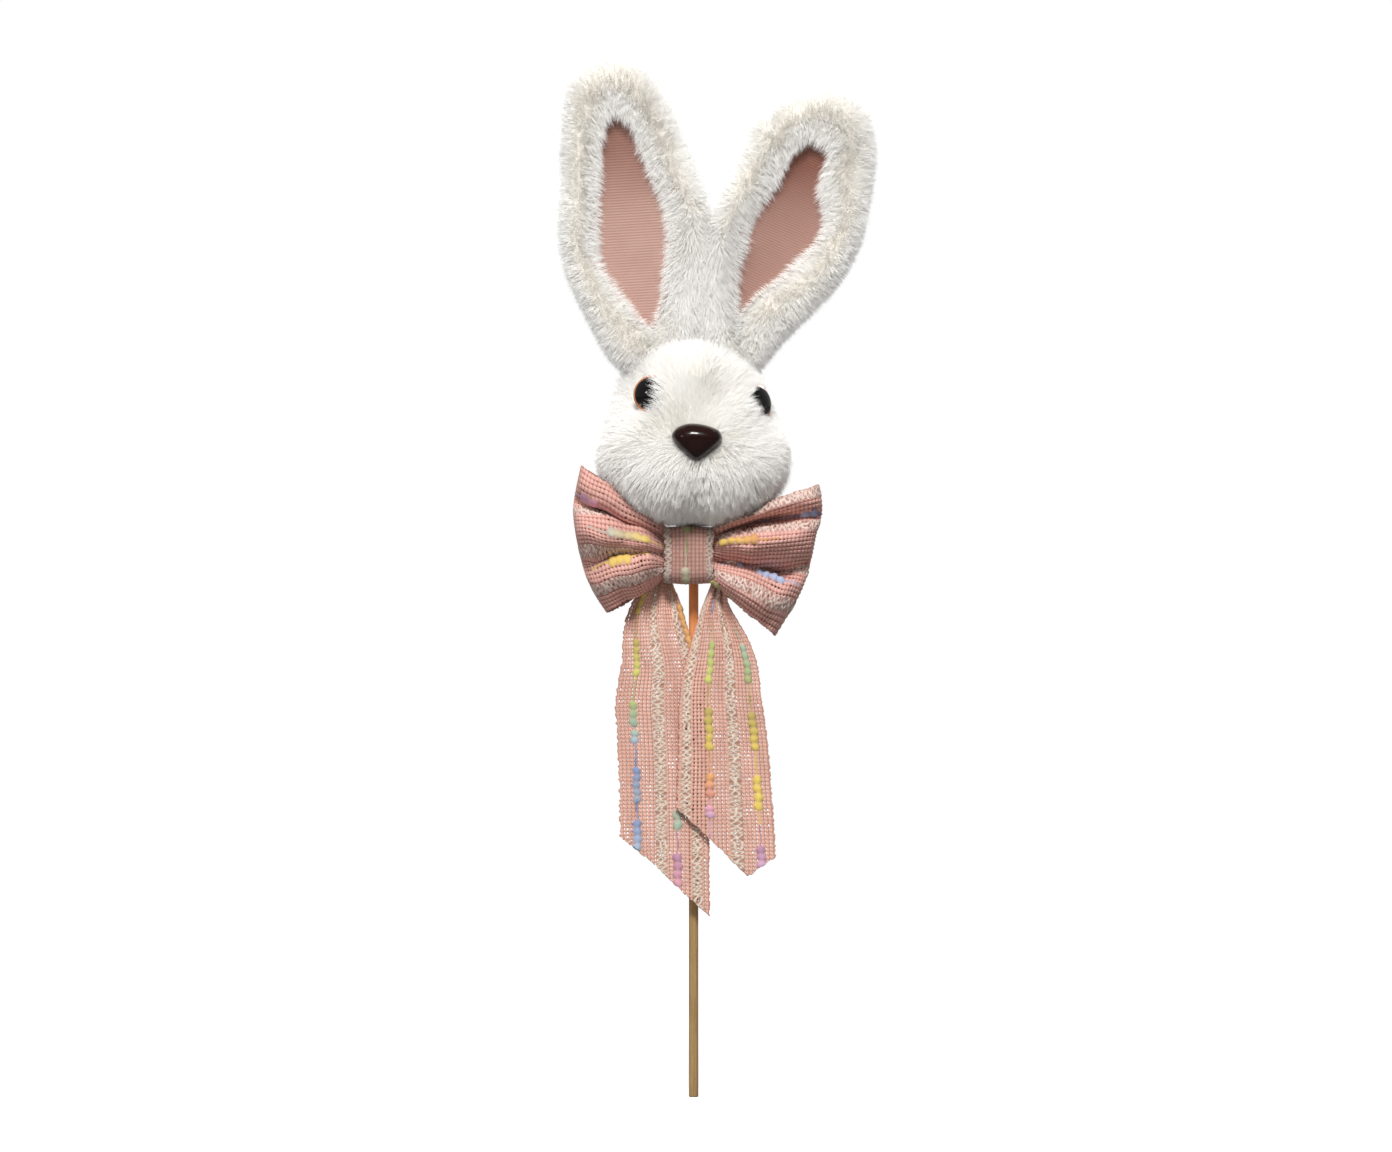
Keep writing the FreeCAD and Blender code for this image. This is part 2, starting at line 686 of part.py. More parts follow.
for hand in ("left", "right"):
    title = hand.title()
    frame = ear_frame(hand)
    length, thick = size(hand + "_ear_length"), size("ear_thickness")
    floor = thick / 2 - size("lining_depth")
    outline = leaf(0, length, size("ear_half_width"), size("ear_tip_radius"), ear_bellies(hand))
    blade = Part.Face(outline).extrude(Z * thick)
    blade.translate(Z * (-thick / 2))
    rims = [e for e in blade.Edges if e.BoundBox.ZLength < 1e-6 and e.BoundBox.YMax > 1]
    blade = placed(blade.makeFillet((thick - size("ear_edge_flat")) / 2, rims), frame)
    blade = blade.common(Part.makeBox(BIG, BIG, BIG, Vector(-BIG / 2, -BIG / 2, HINGE_Z)))
    start, end = foot_span(hand)
    foot = Part.makeCylinder(FOOT_RADIUS, end - start, Vector(start, 0, HINGE_Z), X)
    recess = Part.Face(lining_leaf(length, 0)).extrude(Z * DEEP)
    recess.translate(Z * floor)
    wire_deep = floor - size("ear_wire_radius")
    wire_foot = size("lining_foot") + size("ear_wire_foot")
    channel = hairpin(length, size("ear_wire_radius") + size("snug"), wire_deep, wire_foot - LAP / 2)
    fur = blade.fuse(foot).cut([placed(recess, frame), placed(channel, frame)])
    node(feature(title + "EarFur", fur), hand + "_ear_fur")

    cloth = Part.Face(lining_leaf(length, 4 * size("snug"))).extrude(Z * size("lining_thickness"))
    cloth.translate(Z * (floor + size("snug")))
    node(feature(title + "EarLining", placed(cloth, frame)), hand + "_ear_lining")
    pin = hairpin(length, size("ear_wire_radius"), wire_deep, wire_foot)
    node(feature(title + "EarWire", placed(pin, frame)), hand + "_ear_wire")

    leg = cylinder(title + "EarLeg", "Sizes.ear_wire_radius", "Sizes.ear_leg_length")
    leg.Placement.Base = Vector(leg_place(hand), 0, LEG_TOP - size("ear_leg_length"))
    node(leg, hand + "_ear_leg")

# The knot band: a short length of ribbon wrapped once round the waist.

band = doc.addObject("PartDesign::Body", "KnotBand")
outline = sketch_on(band, "YZ_Plane", "KnotOutline")
front, rear = "-%s - Sizes.knot_thickness" % SETBACK, "-" + SETBACK
polygon(outline, [
    (front, KNOT_BOTTOM),
    (rear, KNOT_BOTTOM),
    (rear, KNOT_TOP),
    (front, KNOT_TOP),
])
polygon(outline, [
    (front + " + Sizes.band_wall", KNOT_BOTTOM + " + Sizes.band_wall"),
    (rear + " - Sizes.band_wall", KNOT_BOTTOM + " + Sizes.band_wall"),
    (rear + " - Sizes.band_wall", KNOT_TOP + " - Sizes.band_wall"),
    (front + " + Sizes.band_wall", KNOT_TOP + " - Sizes.band_wall"),
])
wrap = pad(band, outline, "Sizes.knot_width", "KnotPad")
doc.recompute()


def long_corners(shape, deep):
    """Names of the band's four long corner edges, outside or a wall deep."""
    found = []
    for name in edges_along(shape, X):
        box = shape.getElement(name).BoundBox
        aside = abs(abs(box.YMin - knot_middle) - size("knot_thickness") / 2 + deep)
        above = abs(abs(box.ZMin - knot_centre.z) - size("knot_rise") / 2 + deep)
        if max(aside, above) < 1e-6:
            found.append(name)
    return found


rounds = wrap
for name, deep, radius in (("KnotRound", 0.0, "Sizes.knot_round"),
                           ("KnotInside", size("band_wall"), "Sizes.knot_round - Sizes.band_wall")):
    soft = band.newObject("PartDesign::Fillet", name)
    soft.Base = (rounds, long_corners(rounds.Shape, deep))
    bind(soft, Radius=radius)
    doc.recompute()
    rounds = soft
slot = sketch_on(band, "YZ_Plane", "KnotSeam")
slot_half = "(Sizes.bow_wire_radius + Sizes.snug)"
polygon(slot, [
    (rear + " - Sizes.band_wall * 1.5", NOTCH + " - " + slot_half),
    ("0", NOTCH + " - " + slot_half),
    ("0", NOTCH + " + " + slot_half),
    (rear + " - Sizes.band_wall * 1.5", NOTCH + " + " + slot_half),
])
seam = band.newObject("PartDesign::Pocket", "KnotSeamCut")
seam.Profile = slot
seam.Type = 1
seam.Reversed = True
bind(band, Placement__Base__x="Sizes.knot_left")
node(band, "knot_band")

# The bow's loops: one ribbon, its ends brought back to a pinched waist, so
# each loop is a flat teardrop tube, fanned out towards its round end.


def teardrop(start, middle, radius, knot_half):
    """Seen from above: the hull of a short edge and a circle."""
    side = 1 if middle > start else -1
    far = abs(middle - start)
    span = math.hypot(far, knot_half)
    turn = math.atan2(knot_half, far) + math.acos(radius / span)
    touch = Vector(-side * radius * math.cos(turn) + middle, radius * math.sin(turn), 0)
    end = Vector(middle + side * radius, 0, 0)
    root = Vector(start, knot_half, 0)
    mirror = [Vector(p.x, -p.y, 0) for p in (touch, root)]
    return Part.Face(Part.Wire([
        Part.LineSegment(root, touch).toShape(),
        Part.Arc(touch, end, mirror[0]).toShape(),
        Part.LineSegment(mirror[0], mirror[1]).toShape(),
        Part.LineSegment(mirror[1], root).toShape(),
    ]))


def fan(points):
    """The loop's outline seen from the front, as a block."""
    corners = [Vector(x, 0, z) for x, z in points]
    face = Part.Face(Part.makePolygon(corners + corners[:1]))
    face.translate(Y * (-BIG / 2))
    return face.extrude(Y * BIG)


def loop(side, edge_x, reach, rise, drop):
    """One loop: a teardrop tube cut to its fanned outline."""
    lap, wall = size("loop_lap"), size("loop_wall")
    top, low = knot_centre.z + rise, knot_centre.z - drop
    waist_low = knot_centre.z - size("waist_rise") / 2 + lap
    waist_high = knot_centre.z + size("waist_rise") / 2 - lap
    inside_x = edge_x - side * lap
    middle = side * (reach - size("loop_radius"))
    knot_half = size("loop_knot_half") - lap
    outer = teardrop(inside_x, middle, size("loop_radius"), knot_half)
    inner = teardrop(inside_x + side * wall * 2, middle, size("loop_radius") - wall, knot_half - wall)
    ring = outer.extrude(Z * BIG).cut(inner.extrude(Z * BIG))
    ring.translate(Vector(0, knot_middle, 0))
    neck = side * size("loop_neck_reach")
    corner = reach - size("loop_corner_inset")
    shoulder = reach - size("loop_top_inset")
    block = fan([
        (inside_x, waist_low),
        (neck, low + size("loop_neck_drop")),
        (side * corner, low),
        (side * (corner + size("loop_corner_width")), low + size("loop_corner_rise")),
        (side * (reach - size("loop_bulge")), low + size("loop_side_low")),
        (side * (reach + size("loop_bulge")), low + size("loop_side_high")),
        (side * shoulder, top),
        (side * (shoulder - size("loop_top_width")), top - size("loop_top_sag")),
        (neck, knot_centre.z + size("loop_neck_rise")),
        (inside_x, waist_high),
    ])
    return ring.common(block)


knot_right = size("knot_left") + size("knot_width")
waist_width = size("knot_width") - size("loop_lap")
waist = Part.makeBox(waist_width, size("waist_thickness"), size("waist_rise"),
                     Vector(size("knot_left") + size("loop_lap") / 2, knot_middle - waist_half,
                            knot_centre.z - size("waist_rise") / 2))
waist = waist.makeFillet(waist_half - 2 * size("snug"),
                         [e for e in waist.Edges if e.BoundBox.XLength > waist_width / 2])
left_loop = loop(-1, size("knot_left"), size("left_loop_reach"), size("left_loop_rise"), size("left_loop_drop"))
right_loop = loop(1, knot_right, size("right_loop_reach"), size("right_loop_rise"), size("right_loop_drop"))
bow = waist.fuse([left_loop, right_loop]).cut(head_solid(size("seat_gap")))
node(feature("BowLoops", bow), "bow_loops")

# The tails: two slant-cut ends of ribbon hanging from one line under the
# knot, the right one lying in front of the left one.

HINGE_LOW = value(KNOT_BOTTOM) - size("seat_gap") - size("hinge_radius")


def tail(outline, front, root_from, root_to):
    """A flat end of ribbon: its outline cut from a bent strip."""
    half = size("tail_thickness") / 2
    back, drop = size("hinge_setback"), size("tail_bend_drop")
    strip = [
        Vector(0, -back - half, HINGE_LOW), Vector(0, -front - half, HINGE_LOW - drop),
        Vector(0, -front - half, 0), Vector(0, -front + half, 0),
        Vector(0, -front + half, HINGE_LOW - drop), Vector(0, -back + half, HINGE_LOW),
    ]
    side = Part.Face(Part.makePolygon(strip + strip[:1]))
    side.translate(X * (-BIG / 2))
    sheet_of_cloth = side.extrude(X * BIG).common(fan(outline))
    roll = Part.makeCylinder(size("hinge_radius"), root_to - root_from,
                             Vector(root_from, -back, HINGE_LOW), X)
    return sheet_of_cloth.fuse(roll).removeSplitter()


def below(*corners):
    """Outline corners given as x and a drop below the hinge."""
    return [(x, HINGE_LOW - drop) for x, drop in corners]


def left(alias):
    return size("left_tail_" + alias)


edge_x, width = left("edge"), size("tail_width")
root = size("knot_left") - left("root_out"), size("knot_left") + left("root_in")
left_tail = tail(below(
    (root[0], 0),
    (root[1], 0),
    (root[1] + left("flare"), left("flare_drop")),
    (edge_x + width, left("full_drop")),
    (edge_x + width, left("long")),
    (edge_x, left("short")),
    (edge_x, left("side_drop")),
    (edge_x + left("shoulder"), left("shoulder_drop")),
    (edge_x + left("neck"), left("neck_drop")),
), left("front"), *root)
node(feature("LeftTail", left_tail), "left_tail")


def right(alias):
    return size("right_tail_" + alias)


edge_x = right("edge")
root = knot_right - right("root_in"), knot_right + right("root_out")
right_tail = tail(below(
    (root[0], 0),
    (root[1], 0),
    (root[1] + right("flare"), right("flare_drop")),
    (edge_x + width, right("full_drop")),
    (edge_x + width + right("spread"), right("corner")),
    (edge_x + right("point"), right("long")),
    (edge_x, right("short")),
    (edge_x, right("side_drop")),
    (root[0] - right("neck"), right("neck_drop")),
), right("front"), *root)
node(feature("RightTail", right_tail), "right_tail")

# Check every object, then write one file for each piece.

doc.recompute()
for thing in doc.Objects:
    if "Invalid" in thing.State or "Error" in thing.State:
        raise RuntimeError("%s is %s" % (thing.Name, thing.State))
os.makedirs("parts", exist_ok=True)
for piece in NODES:
    shape = piece.Shape
    if shape.isNull() or not shape.isValid() or not shape.Solids:
        raise RuntimeError("%s has no sound solid" % piece.Label)
    shape.exportStep("parts/%s.step" % piece.Label)
    print(piece.Label, len(shape.Solids), round(shape.Volume, 1))
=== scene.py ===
import math

import bpy
import numpy as np
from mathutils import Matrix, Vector, kdtree


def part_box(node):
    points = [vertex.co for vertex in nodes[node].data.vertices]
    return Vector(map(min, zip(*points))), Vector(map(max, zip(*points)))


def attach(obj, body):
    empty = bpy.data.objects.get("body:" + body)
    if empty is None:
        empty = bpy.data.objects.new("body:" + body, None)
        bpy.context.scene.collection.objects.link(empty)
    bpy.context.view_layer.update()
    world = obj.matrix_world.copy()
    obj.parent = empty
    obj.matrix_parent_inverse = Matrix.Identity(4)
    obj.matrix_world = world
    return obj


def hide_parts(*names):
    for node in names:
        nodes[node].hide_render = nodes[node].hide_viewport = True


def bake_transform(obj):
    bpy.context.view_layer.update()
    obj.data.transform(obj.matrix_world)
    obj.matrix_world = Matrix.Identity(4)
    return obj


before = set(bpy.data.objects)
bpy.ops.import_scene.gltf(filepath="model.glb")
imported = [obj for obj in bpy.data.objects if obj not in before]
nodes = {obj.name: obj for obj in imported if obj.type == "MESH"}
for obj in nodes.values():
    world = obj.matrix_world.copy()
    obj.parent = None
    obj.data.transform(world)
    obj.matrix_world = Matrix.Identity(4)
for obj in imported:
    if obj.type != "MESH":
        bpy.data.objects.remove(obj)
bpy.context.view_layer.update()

MM = 0.001

# ---------------------------------------------------------------------------
# Daylight studio: a white floor under the stick, a white surround, a soft
# lamp above the front, a weak one at the left and one behind.  The camera
# looks level at the middle of the piece through a long lens.
# ---------------------------------------------------------------------------

view_width = 582 * MM
view_distance = 4.0
camera = bpy.data.objects.new("camera", bpy.data.cameras.new("camera"))
camera.location = (1.0 * MM, -view_distance, 217.8 * MM)
camera.rotation_euler = (math.pi / 2, 0, 0)
camera.data.sensor_width = 36
camera.data.lens = 36 * view_distance / view_width
camera.data.clip_end = 50
bpy.context.scene.collection.objects.link(camera)
bpy.context.scene.camera = camera
bpy.context.scene.view_settings.view_transform = "Standard"


def lamp(name, place, target, side, power):
    """A square soft lamp aimed at a point."""
    light = bpy.data.lights.new(name, "AREA")
    light.energy, light.size = power, side
    obj = bpy.data.objects.new(name, light)
    obj.location = place
    obj.rotation_euler = (Vector(target) - Vector(place)).to_track_quat("-Z", "Y").to_euler()
    bpy.context.scene.collection.objects.link(obj)


middle = (0, 0, 0.27)
lamp("key_lamp", (-0.1, -1.75, 2.0), middle, 0.55, 63)
lamp("side_lamp", (-1.7, -1.7, 1.1), middle, 0.25, 6)
lamp("back_lamp", (0.5, 2.3, 1.5), middle, 0.8, 26)


class Paint:
    """A socket of a material's node, with Python's operators for Math nodes."""

    def __init__(self, tree, socket=None):
        self.tree, self.socket = tree, socket

    def node(self, kind, out=0, settings=(), **sockets):
        """Any other node: its settings first, then its sockets; a name is an
        input's name with _ for a space, or i and its number."""
        made = self.tree.nodes.new(kind)
        for name, value in dict(settings).items():
            setattr(made, name, value)
        for name, value in sockets.items():
            digits = name[1:]
            key = int(digits) if name[0] == "i" and digits.isdigit() else name.replace("_", " ")
            socket = made.inputs[key]
            if isinstance(value, Paint):
                self.tree.links.new(value.socket, socket)
            else:
                socket.default_value = value
        return Paint(self.tree, made.outputs[out])

    def _maths(self, operation, a, b=0.0):
        return self.node("ShaderNodeMath", settings={"operation": operation}, i0=a, i1=b)

    def __add__(self, other):
        return self._maths("ADD", self, other)

    def __radd__(self, other):
        return self._maths("ADD", other, self)

    def __sub__(self, other):
        return self._maths("SUBTRACT", self, other)

    def __mul__(self, other):
        return self._maths("MULTIPLY", self, other)

    def __rmul__(self, other):
        return self._maths("MULTIPLY", other, self)

    def __truediv__(self, other):
        return self._maths("DIVIDE", self, other)

    def wave(self):
        """A sine of the value, from 0 to 1, with a period of 1."""
        return self._maths("SINE", self * math.tau) * 0.5 + 0.5

    def band(self, start, end):
        """0 at start and 1 at end, eased between them."""
        return self.node("ShaderNodeMapRange", settings={"interpolation_type": "SMOOTHSTEP"},
                         Value=self, From_Min=start, From_Max=end)

    def mix(self, a, b):
        """Colour a where the value is 0, colour b where it is 1."""
        a, b = (c if isinstance(c, Paint) else (*c, 1) for c in (a, b))
        return self.node("ShaderNodeMix", 2, {"data_type": "RGBA"}, Factor=self, i6=a, i7=b)


def finish_of(name, **sockets):
    """A new material: its Paint, for making fields, and a function that sets
    the sockets of its Principled shader."""
    material = bpy.data.materials.new(name)
    material.use_nodes = True
    tree = material.node_tree
    shader = next(n for n in tree.nodes if n.type == "BSDF_PRINCIPLED")

    def use(**values):
        for key, value in values.items():
            socket = shader.inputs[key.replace("_", " ")]
            if isinstance(value, Paint):
                tree.links.new(value.socket, socket)
            elif key.endswith("Color"):
                socket.default_value = (*value, 1)
            else:
                socket.default_value = value
        return material

    use(**sockets)
    return Paint(tree), use


def tone(red, green, blue):
    """A colour as a paint maker writes it, 0 to 255, in linear light."""
    return tuple((v / 255) ** 2.2 for v in (red, green, blue))


world = bpy.data.worlds.new("surround")
world.use_nodes = True
bpy.context.scene.world = world
sky = Paint(world.node_tree)
seen = sky.node("ShaderNodeLightPath", 0)
through = sky.node("ShaderNodeLightPath", 6)
ambient = 0.36
strength = ambient + (1 - ambient) * (seen + through)
background = next(n for n in world.node_tree.nodes if n.type == "BACKGROUND")
background.inputs["Color"].default_value = (1, 1, 1, 1)
world.node_tree.links.new(strength.socket, background.inputs["Strength"])

floor_mesh = bpy.data.meshes.new("floor")
floor_half = 6.0
floor_mesh.from_pydata([(x * floor_half, y * floor_half, 0) for x, y in ((-1, -1), (1, -1), (1, 1), (-1, 1))],
                       [], [(0, 1, 2, 3)])
floor = bpy.data.objects.new("floor", floor_mesh)
bpy.context.scene.collection.objects.link(floor)
floor_paint, floor_finish = finish_of("white_floor")
direct = floor_paint.node("ShaderNodeLightPath", 0)
floor_mesh.materials.append(floor_finish(Base_Color=(0.26, 0.26, 0.26), Roughness=1.0,
                                         Specular_IOR_Level=0.0, Emission_Strength=0.9,
                                         Emission_Color=direct.mix((0, 0, 0), (1, 1, 1))))

# ---------------------------------------------------------------------------
# The stick: a turned birch dowel, unvarnished and faintly fluted by the
# machine, with a darker tan streak here and there along the grain.  Up
# behind the bow its colour is painted warmer and brighter, as painted
# light.  The head is glued on its top.
# ---------------------------------------------------------------------------


def texture_at(paint, x=1.0, y=1.0, z=1.0):
    """Object coordinates in millimetres, stretched by the three factors."""
    place = paint.node("ShaderNodeTexCoord", 3)
    return paint.node("ShaderNodeVectorMath", settings={"operation": "MULTIPLY"},
                      i0=place, i1=(x / MM, y / MM, z / MM))


def noise(paint, vector, scale, detail=2.0, roughness=0.5):
    return paint.node("ShaderNodeTexNoise", settings={"noise_dimensions": "3D"}, Vector=vector,
                      Scale=scale, Detail=detail, Roughness=roughness)


wood, wood_finish = finish_of("birch_dowel", Roughness=0.62, Specular_IOR_Level=0.35)
grain = noise(wood, texture_at(wood, 1, 1, 0.05), 1.7, 4, 0.6).band(0.35, 0.7)
fleck = noise(wood, texture_at(wood, 1, 1, 0.18), 3.4, 2).band(0.58, 0.72)
height = wood.node("ShaderNodeSeparateXYZ", 2, Vector=texture_at(wood))
# Painted light: from 120 mm up to behind the bow the stick is coloured warmer and brighter.
painted_light_under_bow = height.band(120, 214)
pale = grain.mix(tone(172, 142, 98), tone(150, 118, 76))
pale = (fleck * 0.5).mix(pale, tone(140, 106, 66))
painted_light_tone = grain.mix(tone(242, 160, 100), tone(226, 140, 82))
ridge = wood.node("ShaderNodeBump", Strength=0.25, Distance=0.2 * MM, Height=grain)
nodes["stick"].material_slots[0].material = wood_finish(Base_Color=painted_light_under_bow.mix(pale, painted_light_tone), Normal=ridge)

# ---------------------------------------------------------------------------
# The head: long-pile white plush over a firm wad of fibre, sewn from a face
# panel and a back panel.  The pile is real strands on a backing: shorter on
# the brow, long and tufted on the cheeks and chin, parted under the nose.
# ---------------------------------------------------------------------------


def build_mesh(name, points, faces, uv=None):
    """A mesh object from arrays: points, rows of 3 or 4 corners, and a UV
    for each corner of each face."""
    mesh = bpy.data.meshes.new(name)
    corners = [np.asarray(f, np.int32) for f in faces if len(f)]
    flat = np.concatenate([f.ravel() for f in corners])
    sizes = np.concatenate([np.full(len(f), f.shape[1], np.int32) for f in corners])
    starts = np.concatenate([[0], np.cumsum(sizes)[:-1]]).astype(np.int32)
    mesh.vertices.add(len(points))
    mesh.vertices.foreach_set("co", np.asarray(points, np.float32).ravel())
    mesh.loops.add(len(flat))
    mesh.loops.foreach_set("vertex_index", flat)
    mesh.polygons.add(len(sizes))
    mesh.polygons.foreach_set("loop_start", starts)
    mesh.polygons.foreach_set("use_smooth", np.ones(len(sizes), bool))
    if uv is not None:
        layer = mesh.uv_layers.new(name="OFBake")
        layer.data.foreach_set("uv", np.asarray(uv, np.float32).ravel())
    mesh.update(calc_edges=True)
    obj = bpy.data.objects.new(name, mesh)
    bpy.context.scene.collection.objects.link(obj)
    return obj


def unit(v):
    return v / np.maximum(np.linalg.norm(v, axis=-1, keepdims=True), 1e-12)


def grid_faces(rows, columns, closed=None):
    """The four corners of each cell of a grid of points; the grid may close
    on itself along one axis."""
    index = np.arange(rows * columns).reshape(rows, columns)
    if closed is not None:
        index = np.append(index, np.take(index, [0], axis=closed), axis=closed)
    return np.stack([index[:-1, :-1], index[1:, :-1], index[1:, 1:], index[:-1, 1:]], -1)


def eased(x, low, high):
    """0 below low and 1 above high, eased between."""
    u = np.clip((x - low) / (high - low), 0, 1)
    return u * u * (3 - 2 * u)


plush, plush_finish = finish_of("white_pile", Roughness=0.85, Specular_IOR_Level=0.15, Sheen_Weight=0.15)
strand = plush.node("ShaderNodeUVMap", settings={"uv_map": "OFBake"})
across = plush.node("ShaderNodeSeparateXYZ", 0, Vector=strand)
along = plush.node("ShaderNodeSeparateXYZ", 1, Vector=strand)
single = plush.node("ShaderNodeTexWhiteNoise", 0, {"noise_dimensions": "1D"}, W=across * 997)
tip_tone = single.mix(tone(252, 250, 246), tone(255, 254, 251))
# A little darker and warmer at each strand's root than at its tip: painted shade deep in the pile.
plush_finish(Base_Color=along.band(0.0, 0.6).mix(tone(249, 246, 239), tip_tone))
plush_material = plush_finish()

backing, backing_finish = finish_of("plush_backing", Roughness=0.95, Specular_IOR_Level=0.1)
knit = noise(backing, texture_at(backing), 1.5, 2)
backing_material = backing_finish(Base_Color=knit.mix(tone(238, 231, 220), tone(246, 241, 232)))


tuft_reach = 2.8 * MM
strands_per_tuft = 40
strands_per_piece = 38000


def grow_pile(name, body, roots, normals, lean, length, width, seed, gather=0.16, soften=0.42):
    """Plush: one tapered blade for each root, leaning as told, its tip drawn
    towards the tip of the nearest tuft by the share gather, and its shading
    drawn towards the skin's by soften.  It is split into pieces side by side."""
    rng = np.random.default_rng(seed)
    count = len(roots)
    stray = unit(rng.normal(size=(count, 3)))
    twist = unit(rng.normal(size=(count, 3)))
    length = length * rng.uniform(0.72, 1.12, count)
    start = unit(normals + 0.45 * lean + 0.24 * stray)
    bend = 0.42 * lean + 0.15 * twist + np.array([0, 0, -0.06])
    steps = np.array([0.0, 0.4, 0.75, 1.0])
    path = [roots + length[:, None] * (t * start * (1 - 0.25 * t) + t * t * bend) for t in steps]
    leaders = rng.permutation(count)[: max(8, int(count / strands_per_tuft))]
    tree = kdtree.KDTree(len(leaders))
    for slot, index in enumerate(leaders):
        tree.insert(roots[index], slot)
    tree.balance()
    owner = leaders[np.array([tree.find(r)[1] for r in roots])]
    pull = path[-1][owner] - path[-1]
    reach = np.linalg.norm(roots[owner] - roots, axis=1)
    force = gather * np.clip(1.6 - reach / tuft_reach, 0, 1)[:, None]
    path = [p + force * t * t * pull for p, t in zip(path, steps)]
    side = unit(np.cross(path[-1] - path[0], normals + 0.2 * twist))
    wide = width * rng.uniform(0.75, 1.2, count)[:, None]
    points = np.stack([path[0] - side * wide, path[0] + side * wide,
                       path[1] - side * wide * 0.9, path[1] + side * wide * 0.9,
                       path[2] - side * wide * 0.6, path[2] + side * wide * 0.6, path[3]], axis=1)
    column = rng.uniform(0.01, 0.99, count)
    weight = np.broadcast_to(soften, (count, 1))
    order = np.argsort(roots[:, 0])
    for part, chosen in enumerate(np.array_split(order, math.ceil(count / strands_per_piece))):
        base = (np.arange(len(chosen)) * 7)[:, None]
        uv_half = 0.0008

        def corner_uv(offsets):
            sides = [np.stack([column[chosen] + uv_half * o, np.full(len(chosen), v)], -1) for o, v in offsets]
            return np.stack(sides, 1).reshape(-1, 2)

        uv = np.concatenate([corner_uv([(-1, 0), (1, 0), (1, 0.4), (-1, 0.4)]),
                             corner_uv([(-1, 0.4), (1, 0.4), (1, 0.75), (-1, 0.75)]),
                             corner_uv([(-1, 0.75), (1, 0.75), (0, 1)])])
        faces = [np.concatenate([base + [0, 1, 3, 2], base + [2, 3, 5, 4]]), base + [4, 5, 6]]
        obj = build_mesh("%s_%d" % (name, part + 1), points[chosen].reshape(-1, 3), faces, uv)
        blade = unit(np.cross(side[chosen], path[3][chosen] - path[0][chosen]))
        soft = np.repeat(unit(blade + weight[chosen] * normals[chosen])[:, None], 7, axis=1)
        obj.data.normals_split_custom_set_from_vertices(soft.reshape(-1, 3).astype(np.float32))
        obj.data.materials.append(plush_material)
        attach(obj, body)


face_low, face_high = (np.array(v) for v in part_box("face_cover"))
chin = face_low[2]
half_width = face_high[0]
head_height = 80.4 * MM
cheek_radius = 27.4 * MM
crown_radius = 31 * MM
pile_depth = 7.0 * MM
cheek = np.array([half_width - cheek_radius, chin + cheek_radius])
crown = np.array([0, chin + head_height - crown_radius])


def head_profile(depth, count=240):
    """The head's half outline, sunk by depth, and its outward normals."""
    gap = crown - cheek
    lean = (cheek_radius - crown_radius) / np.hypot(*gap)
    along = gap / np.hypot(*gap)
    normal = np.array([along[1], -along[0]]) * math.sqrt(1 - lean * lean) + along * lean
    turn = math.atan2(normal[1], normal[0])
    rows = []
    for angle in np.linspace(-math.pi / 2, turn, count // 2):
        rows.append((cheek, cheek_radius, angle))
    for angle in np.linspace(turn, math.pi / 2, count // 2):
        rows.append((crown, crown_radius, angle))
    normals = np.array([(math.cos(a), math.sin(a)) for _, _, a in rows])
    points = np.array([c + (r - depth) * np.array([math.cos(a), math.sin(a)]) for c, r, a in rows])
    foot = np.array([[t * points[0, 0], points[0, 1]] for t in np.linspace(0.0, 0.95, 12)])
    down = np.tile([[0.0, -1.0]], (len(foot), 1))
    points, normals = np.concatenate([foot, points]), np.concatenate([down, normals])
    length = np.concatenate([[0], np.cumsum(np.linalg.norm(np.diff(points, axis=0), axis=1))])
    return points, normals, length


EYE = {hand: np.mean(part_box(hand + "_eye_pupil"), axis=0) for hand in ("left", "right")}
nose_low, nose_high = (np.array(v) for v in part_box("nose"))
nose_middle = np.array([(nose_low[0] + nose_high[0]) / 2, nose_low[1], (nose_low[2] + nose_high[2]) / 2])


def mound(points, centre, spread, height):
    """A soft bump about a point, for shaping the head."""
    away = np.linalg.norm((points - centre) / spread, axis=-1)
    return height * np.exp(-0.5 * away ** 2)


def head_shape(points):
    """How far the sewn head swells or sinks from its turned form, as mounds
    of (centre, spread, height) in mm."""
    nose = nose_middle / MM
    lip_split = nose + (0, 1, -17), (3.2, 16, 10), -3.6
    bridge = nose + (0, 0, 15), (7, 20, 8), -1.6
    brow = (1, -22, 312), (15, 12, 9), 1.6
    left_temple = (-27, -3, 298), (8, 9, 13), 3.2
    right_temple = (29, 6, 297), (8, 9, 12), 1.6
    mounds = [lip_split, bridge, brow, left_temple, right_temple]
    for hand, side in (("left", -1), ("right", 1)):
        eye = EYE[hand] / MM
        lip = nose + (side * 13, 2, -12), (11, 14, 9), 3.4
        cheek_pad = (side * 33, -18, 266), (14, 14, 12), 1.2
        socket = eye + (side * 5, 0, 0), (8, 8, 8), -2.0
        lid = eye + (-side * 8, -1, 0), (4.2, 10, 9), 5.0
        mounds += [lip, cheek_pad, socket, lid]
    return sum(mound(points, np.array(centre) * MM, np.array(spread) * MM, height * MM)
               for centre, spread, height in mounds)


outline, outline_normals, outline_length = head_profile(pile_depth)


def on_head(turn, station):
    """Backing point and normal at a turn about Z and a length up the outline."""
    r, z = (np.interp(station, outline_length, outline[:, i]) for i in (0, 1))
    nr, nz = (np.interp(station, outline_length, outline_normals[:, i]) for i in (0, 1))
    normal = unit(np.stack([nr * np.sin(turn), -nr * np.cos(turn), nz], -1))
    point = np.stack([r * np.sin(turn), -r * np.cos(turn), z], -1)
    return point + normal * head_shape(point)[..., None], normal


